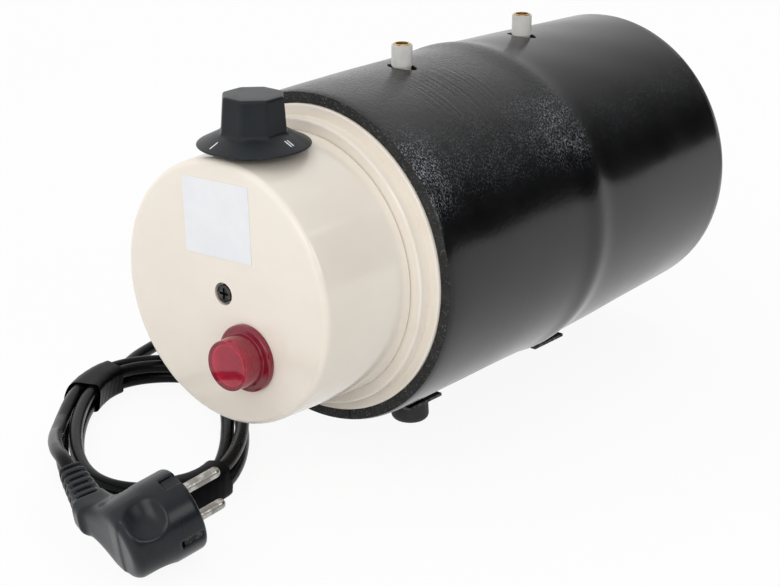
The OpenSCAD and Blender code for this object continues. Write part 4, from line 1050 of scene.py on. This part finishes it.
def sheath_look(name, dark, light, gloss, shine):
    """Flexible black plastic: dull clouds, small scuffs and a fine skin."""
    look = Finish(name, specular_ior_level=shine)
    clouds = look.step(look.noise(14, 4), 0.32, 0.68)
    scuffs = look.step(look.noise(3.2, 5), 0.58, 0.74)
    fine = look.noise(0.4, 2)
    look.set("Base Color", look.mix(clouds * 0.7 + scuffs * 0.3, dark, light))
    look.set("Roughness", gloss + clouds * 0.06 + scuffs * 0.10 + fine * 0.04)
    look.bump(fine * 0.6 + look.noise(5, 3) * 0.8, 0.02)
    return look.material


lens_red, label_film = lens_look(), film_look()
cord_black = sheath_look("cord_black", (0.0030, 0.0032, 0.0037), (0.0060, 0.0063, 0.0070), 0.22, 0.09)
tape_black = sheath_look("tape_black", (0.0030, 0.0030, 0.0032), (0.0055, 0.0055, 0.0057), 0.28, 0.05)
print("materials in all:", len(bpy.data.materials))

# %% [markdown]
# Each CAD part now gets its finish, and so does each new piece. A table from finish to parts keeps this
# in one place and shows at a glance what is made of what. The parts that are hidden inside get theirs
# too, because they show when the heater is taken apart.

# %% Give every part its finish
finish_of = {
    cream: "tank_front_shell tank_rear_shell control_cover",
    label_film: "rating_label",
    black_steel: "cover_screw front_foot_plate rear_foot_plate plug_earth_clips",
    brass: "cover_post thermostat_bush sensor_pocket element_flange terminal_screws inlet_stub outlet_stub "
           "inlet_nut outlet_nut",
    lens_red: "pilot_lens",
    dark_plastic: "lamp_nut thermal_cutout",
    knob_plastic: "knob",
    white_plastic: "lamp_holder terminal_block dip_tube element_terminals",
    brown_resin: "thermostat_body",
    clear_glass: "neon_bulb",
    steel: "thermostat_spindle thermostat_nut flange_screws foot_screws",
    element_sheath: "heating_element",
    copper: "capillary_tube sensor_bulb",
    rubber: "inlet_seal outlet_seal foot_front_left foot_front_right foot_rear",
    gasket_fibre: "flange_gasket",
    gland_black: "cable_gland gland_nut",
    cord_black: "supply_cable_end cord_lead cord_coil cord_tail",
    wire_blue: "internal_wires",
    sleeve_grey: "inlet_sleeve outlet_sleeve",
    tape_black: "coil_tape_far coil_tape_near",
    plug_rubber: "plug_body",
    nickel: "plug_pins",
    foam_skin: "insulation_wrap insulation_end_disc",
}
for finish, names in finish_of.items():
    for name in names.split():
        slots = nodes[name].material_slots
        if slots:
            slots[0].material = finish
        else:
            nodes[name].data.materials.append(finish)
missing = set(nodes) - set(" ".join(finish_of.values()).split())
print("nodes without a finish:", sorted(missing))


def dress(made, *finishes):
    """Give a new piece its finishes in place of any it has."""
    made.data.materials.clear()
    for finish in finishes:
        made.data.materials.append(finish)


for made, finish in ((mains_lead, cord_black), (tape_far, tape_black), (tape_near, tape_black),
                     (control_knob, knob_plastic), (lamp_lens, lens_red), (mains_plug, plug_rubber),
                     (foam_end, foam_skin), *((made, stroke_paint) for made in strokes)):
    dress(made, finish)

# %% [markdown]
# The wrap has both foam finishes. Painting its faces by hand would have to be done again after each
# change, so they are told apart by their direction: a face that doesn't look away from the axis was cut
# or lies inside, apart from those at the rounded rear end.

# %% Cut faces of the wrap
SKIN_LEAST, REAR_END = 0.6, 8
dress(foam_wrap, foam_skin, foam_cut)
wrap_faces = foam_wrap.data.polygons
normals, centres = np.empty((2, len(wrap_faces) * 3))
wrap_faces.foreach_get("normal", normals)
wrap_faces.foreach_get("center", centres)
normals, centres = normals.reshape(-1, 3), centres.reshape(-1, 3) - [0, 0, AXIS_Z * MM]
spokes = centres[:, [0, 2]]
outward = (normals[:, [0, 2]] * spokes).sum(axis=1) / np.linalg.norm(spokes, axis=1)
is_cut = (outward < SKIN_LEAST) & (centres[:, 1] < (FACE_Y + BODY_LEN - REAR_END) * MM)
wrap_faces.foreach_set("material_index", is_cut.astype(np.int32))
foam_wrap.data.update()
print("cut faces on the wrap:", int(is_cut.sum()))

# %% [markdown]
# The set is a pale floor and soft light. A floor that is only lit never comes out evenly white. So for
# the camera and for reflections most of its colour is a glow of strength 1, which is white, while the
# light that it scatters on the heater comes from its plain grey-white. The rest keeps the heater's
# shadow.

# %% Floor
FLOOR_HALF = 40.0
GLOW_SHARE = 0.92
DIRECT_RAYS = ("Is Camera Ray", "Is Glossy Ray", "Is Transmission Ray")


def seen_directly(look):
    """One for rays from the camera and for reflected and refracted rays, nothing for scattered light."""
    camera_ray, glossy_ray, through_ray = (look.add("LightPath", output=name) for name in DIRECT_RAYS)
    return look.add("Clamp", {}, {"Value": camera_ray + glossy_ray + through_ray})


floor_mesh = bpy.data.meshes.new("floor")
floor_corners = [(-1, -1), (1, -1), (1, 1), (-1, 1)]
floor_mesh.from_pydata([(x * FLOOR_HALF, y * FLOOR_HALF, 0) for x, y in floor_corners], [], [(0, 1, 2, 3)])
floor = placed("floor", floor_mesh)
look = Finish("floor", specular_ior_level=0.1)
look.set("Base Color", look.mix(look.noise(300, 2), (0.86, 0.86, 0.86), (0.9, 0.9, 0.9)))
look.set("Roughness", 0.8)
white = look.add("Emission", {}, {"Color": (1, 1, 1), "Strength": 1.0})
look.show_mix(seen_directly(look) * GLOW_SHARE, white)
dress(floor, look.material)
print("floor of", 2 * FLOOR_HALF, "m")

# %% [markdown]
# The world is bright on the upper left and dark on the lower right, so black rubber gets its shape from
# what it reflects. An even world would make the foam flat. Two soft lamps fill the front and the side,
# and a small weak one behind gives an edge. The level is one at which a colour shows about as it is
# written.

# %% World and lamps
SKY_WAY = (-0.75, -0.35, 0.55)
SKY_DARK_AT, SKY_BRIGHT_AT = -0.55, 0.45
SKY_DIM, SKY_FULL = 0.03, 1.08
HEATER_MIDDLE, HEATER_FRONT = (0, 0, 0.1), (0, -0.1, 0.1)
world = bpy.data.worlds.new("world")
bpy.context.scene.world = world
world.use_nodes = True
sky = Nodes(world.node_tree)
way = sky.add("TexCoord", output="Generated")
reach = sky.add("VectorMath", {"operation": "DOT_PRODUCT"}, {0: way, 1: SKY_WAY}, output="Value")
bright = sky.step(reach, SKY_DARK_AT, SKY_BRIGHT_AT)
dim = sky.add("Background", {}, {"Color": (0.95, 0.97, 1.0), "Strength": SKY_DIM})
full = sky.add("Background", {}, {"Color": (1, 1, 1), "Strength": SKY_FULL})
both = sky.add("MixShader", {}, {0: bright, 1: dim, 2: full})
fill(world.node_tree.nodes["World Output"].inputs["Surface"], both)


def soft_box(name, place, aim, width, height, power):
    """A flat lamp that faces a point, with its sides in metres and its power in watts."""
    lamp = bpy.data.lights.new(name, "AREA")
    lamp.shape, lamp.size, lamp.size_y, lamp.energy = "RECTANGLE", width, height, power
    made = placed(name, lamp)
    made.location = place
    made.rotation_euler = (Vector(place) - Vector(aim)).to_track_quat("Z", "Y").to_euler()
    print(name, power, "W")


soft_box("lamp_right", (1.10, 1.15, 1.30), HEATER_MIDDLE, 0.06, 0.06, 0.15)
soft_box("lamp_front", (1.0, -2.0, 1.2), HEATER_FRONT, 1.3, 1.0, 9)
soft_box("lamp_side", (1.9, -0.4, 1.1), HEATER_FRONT, 1.0, 0.8, 8)
bpy.context.scene.view_settings.view_transform = "Standard"
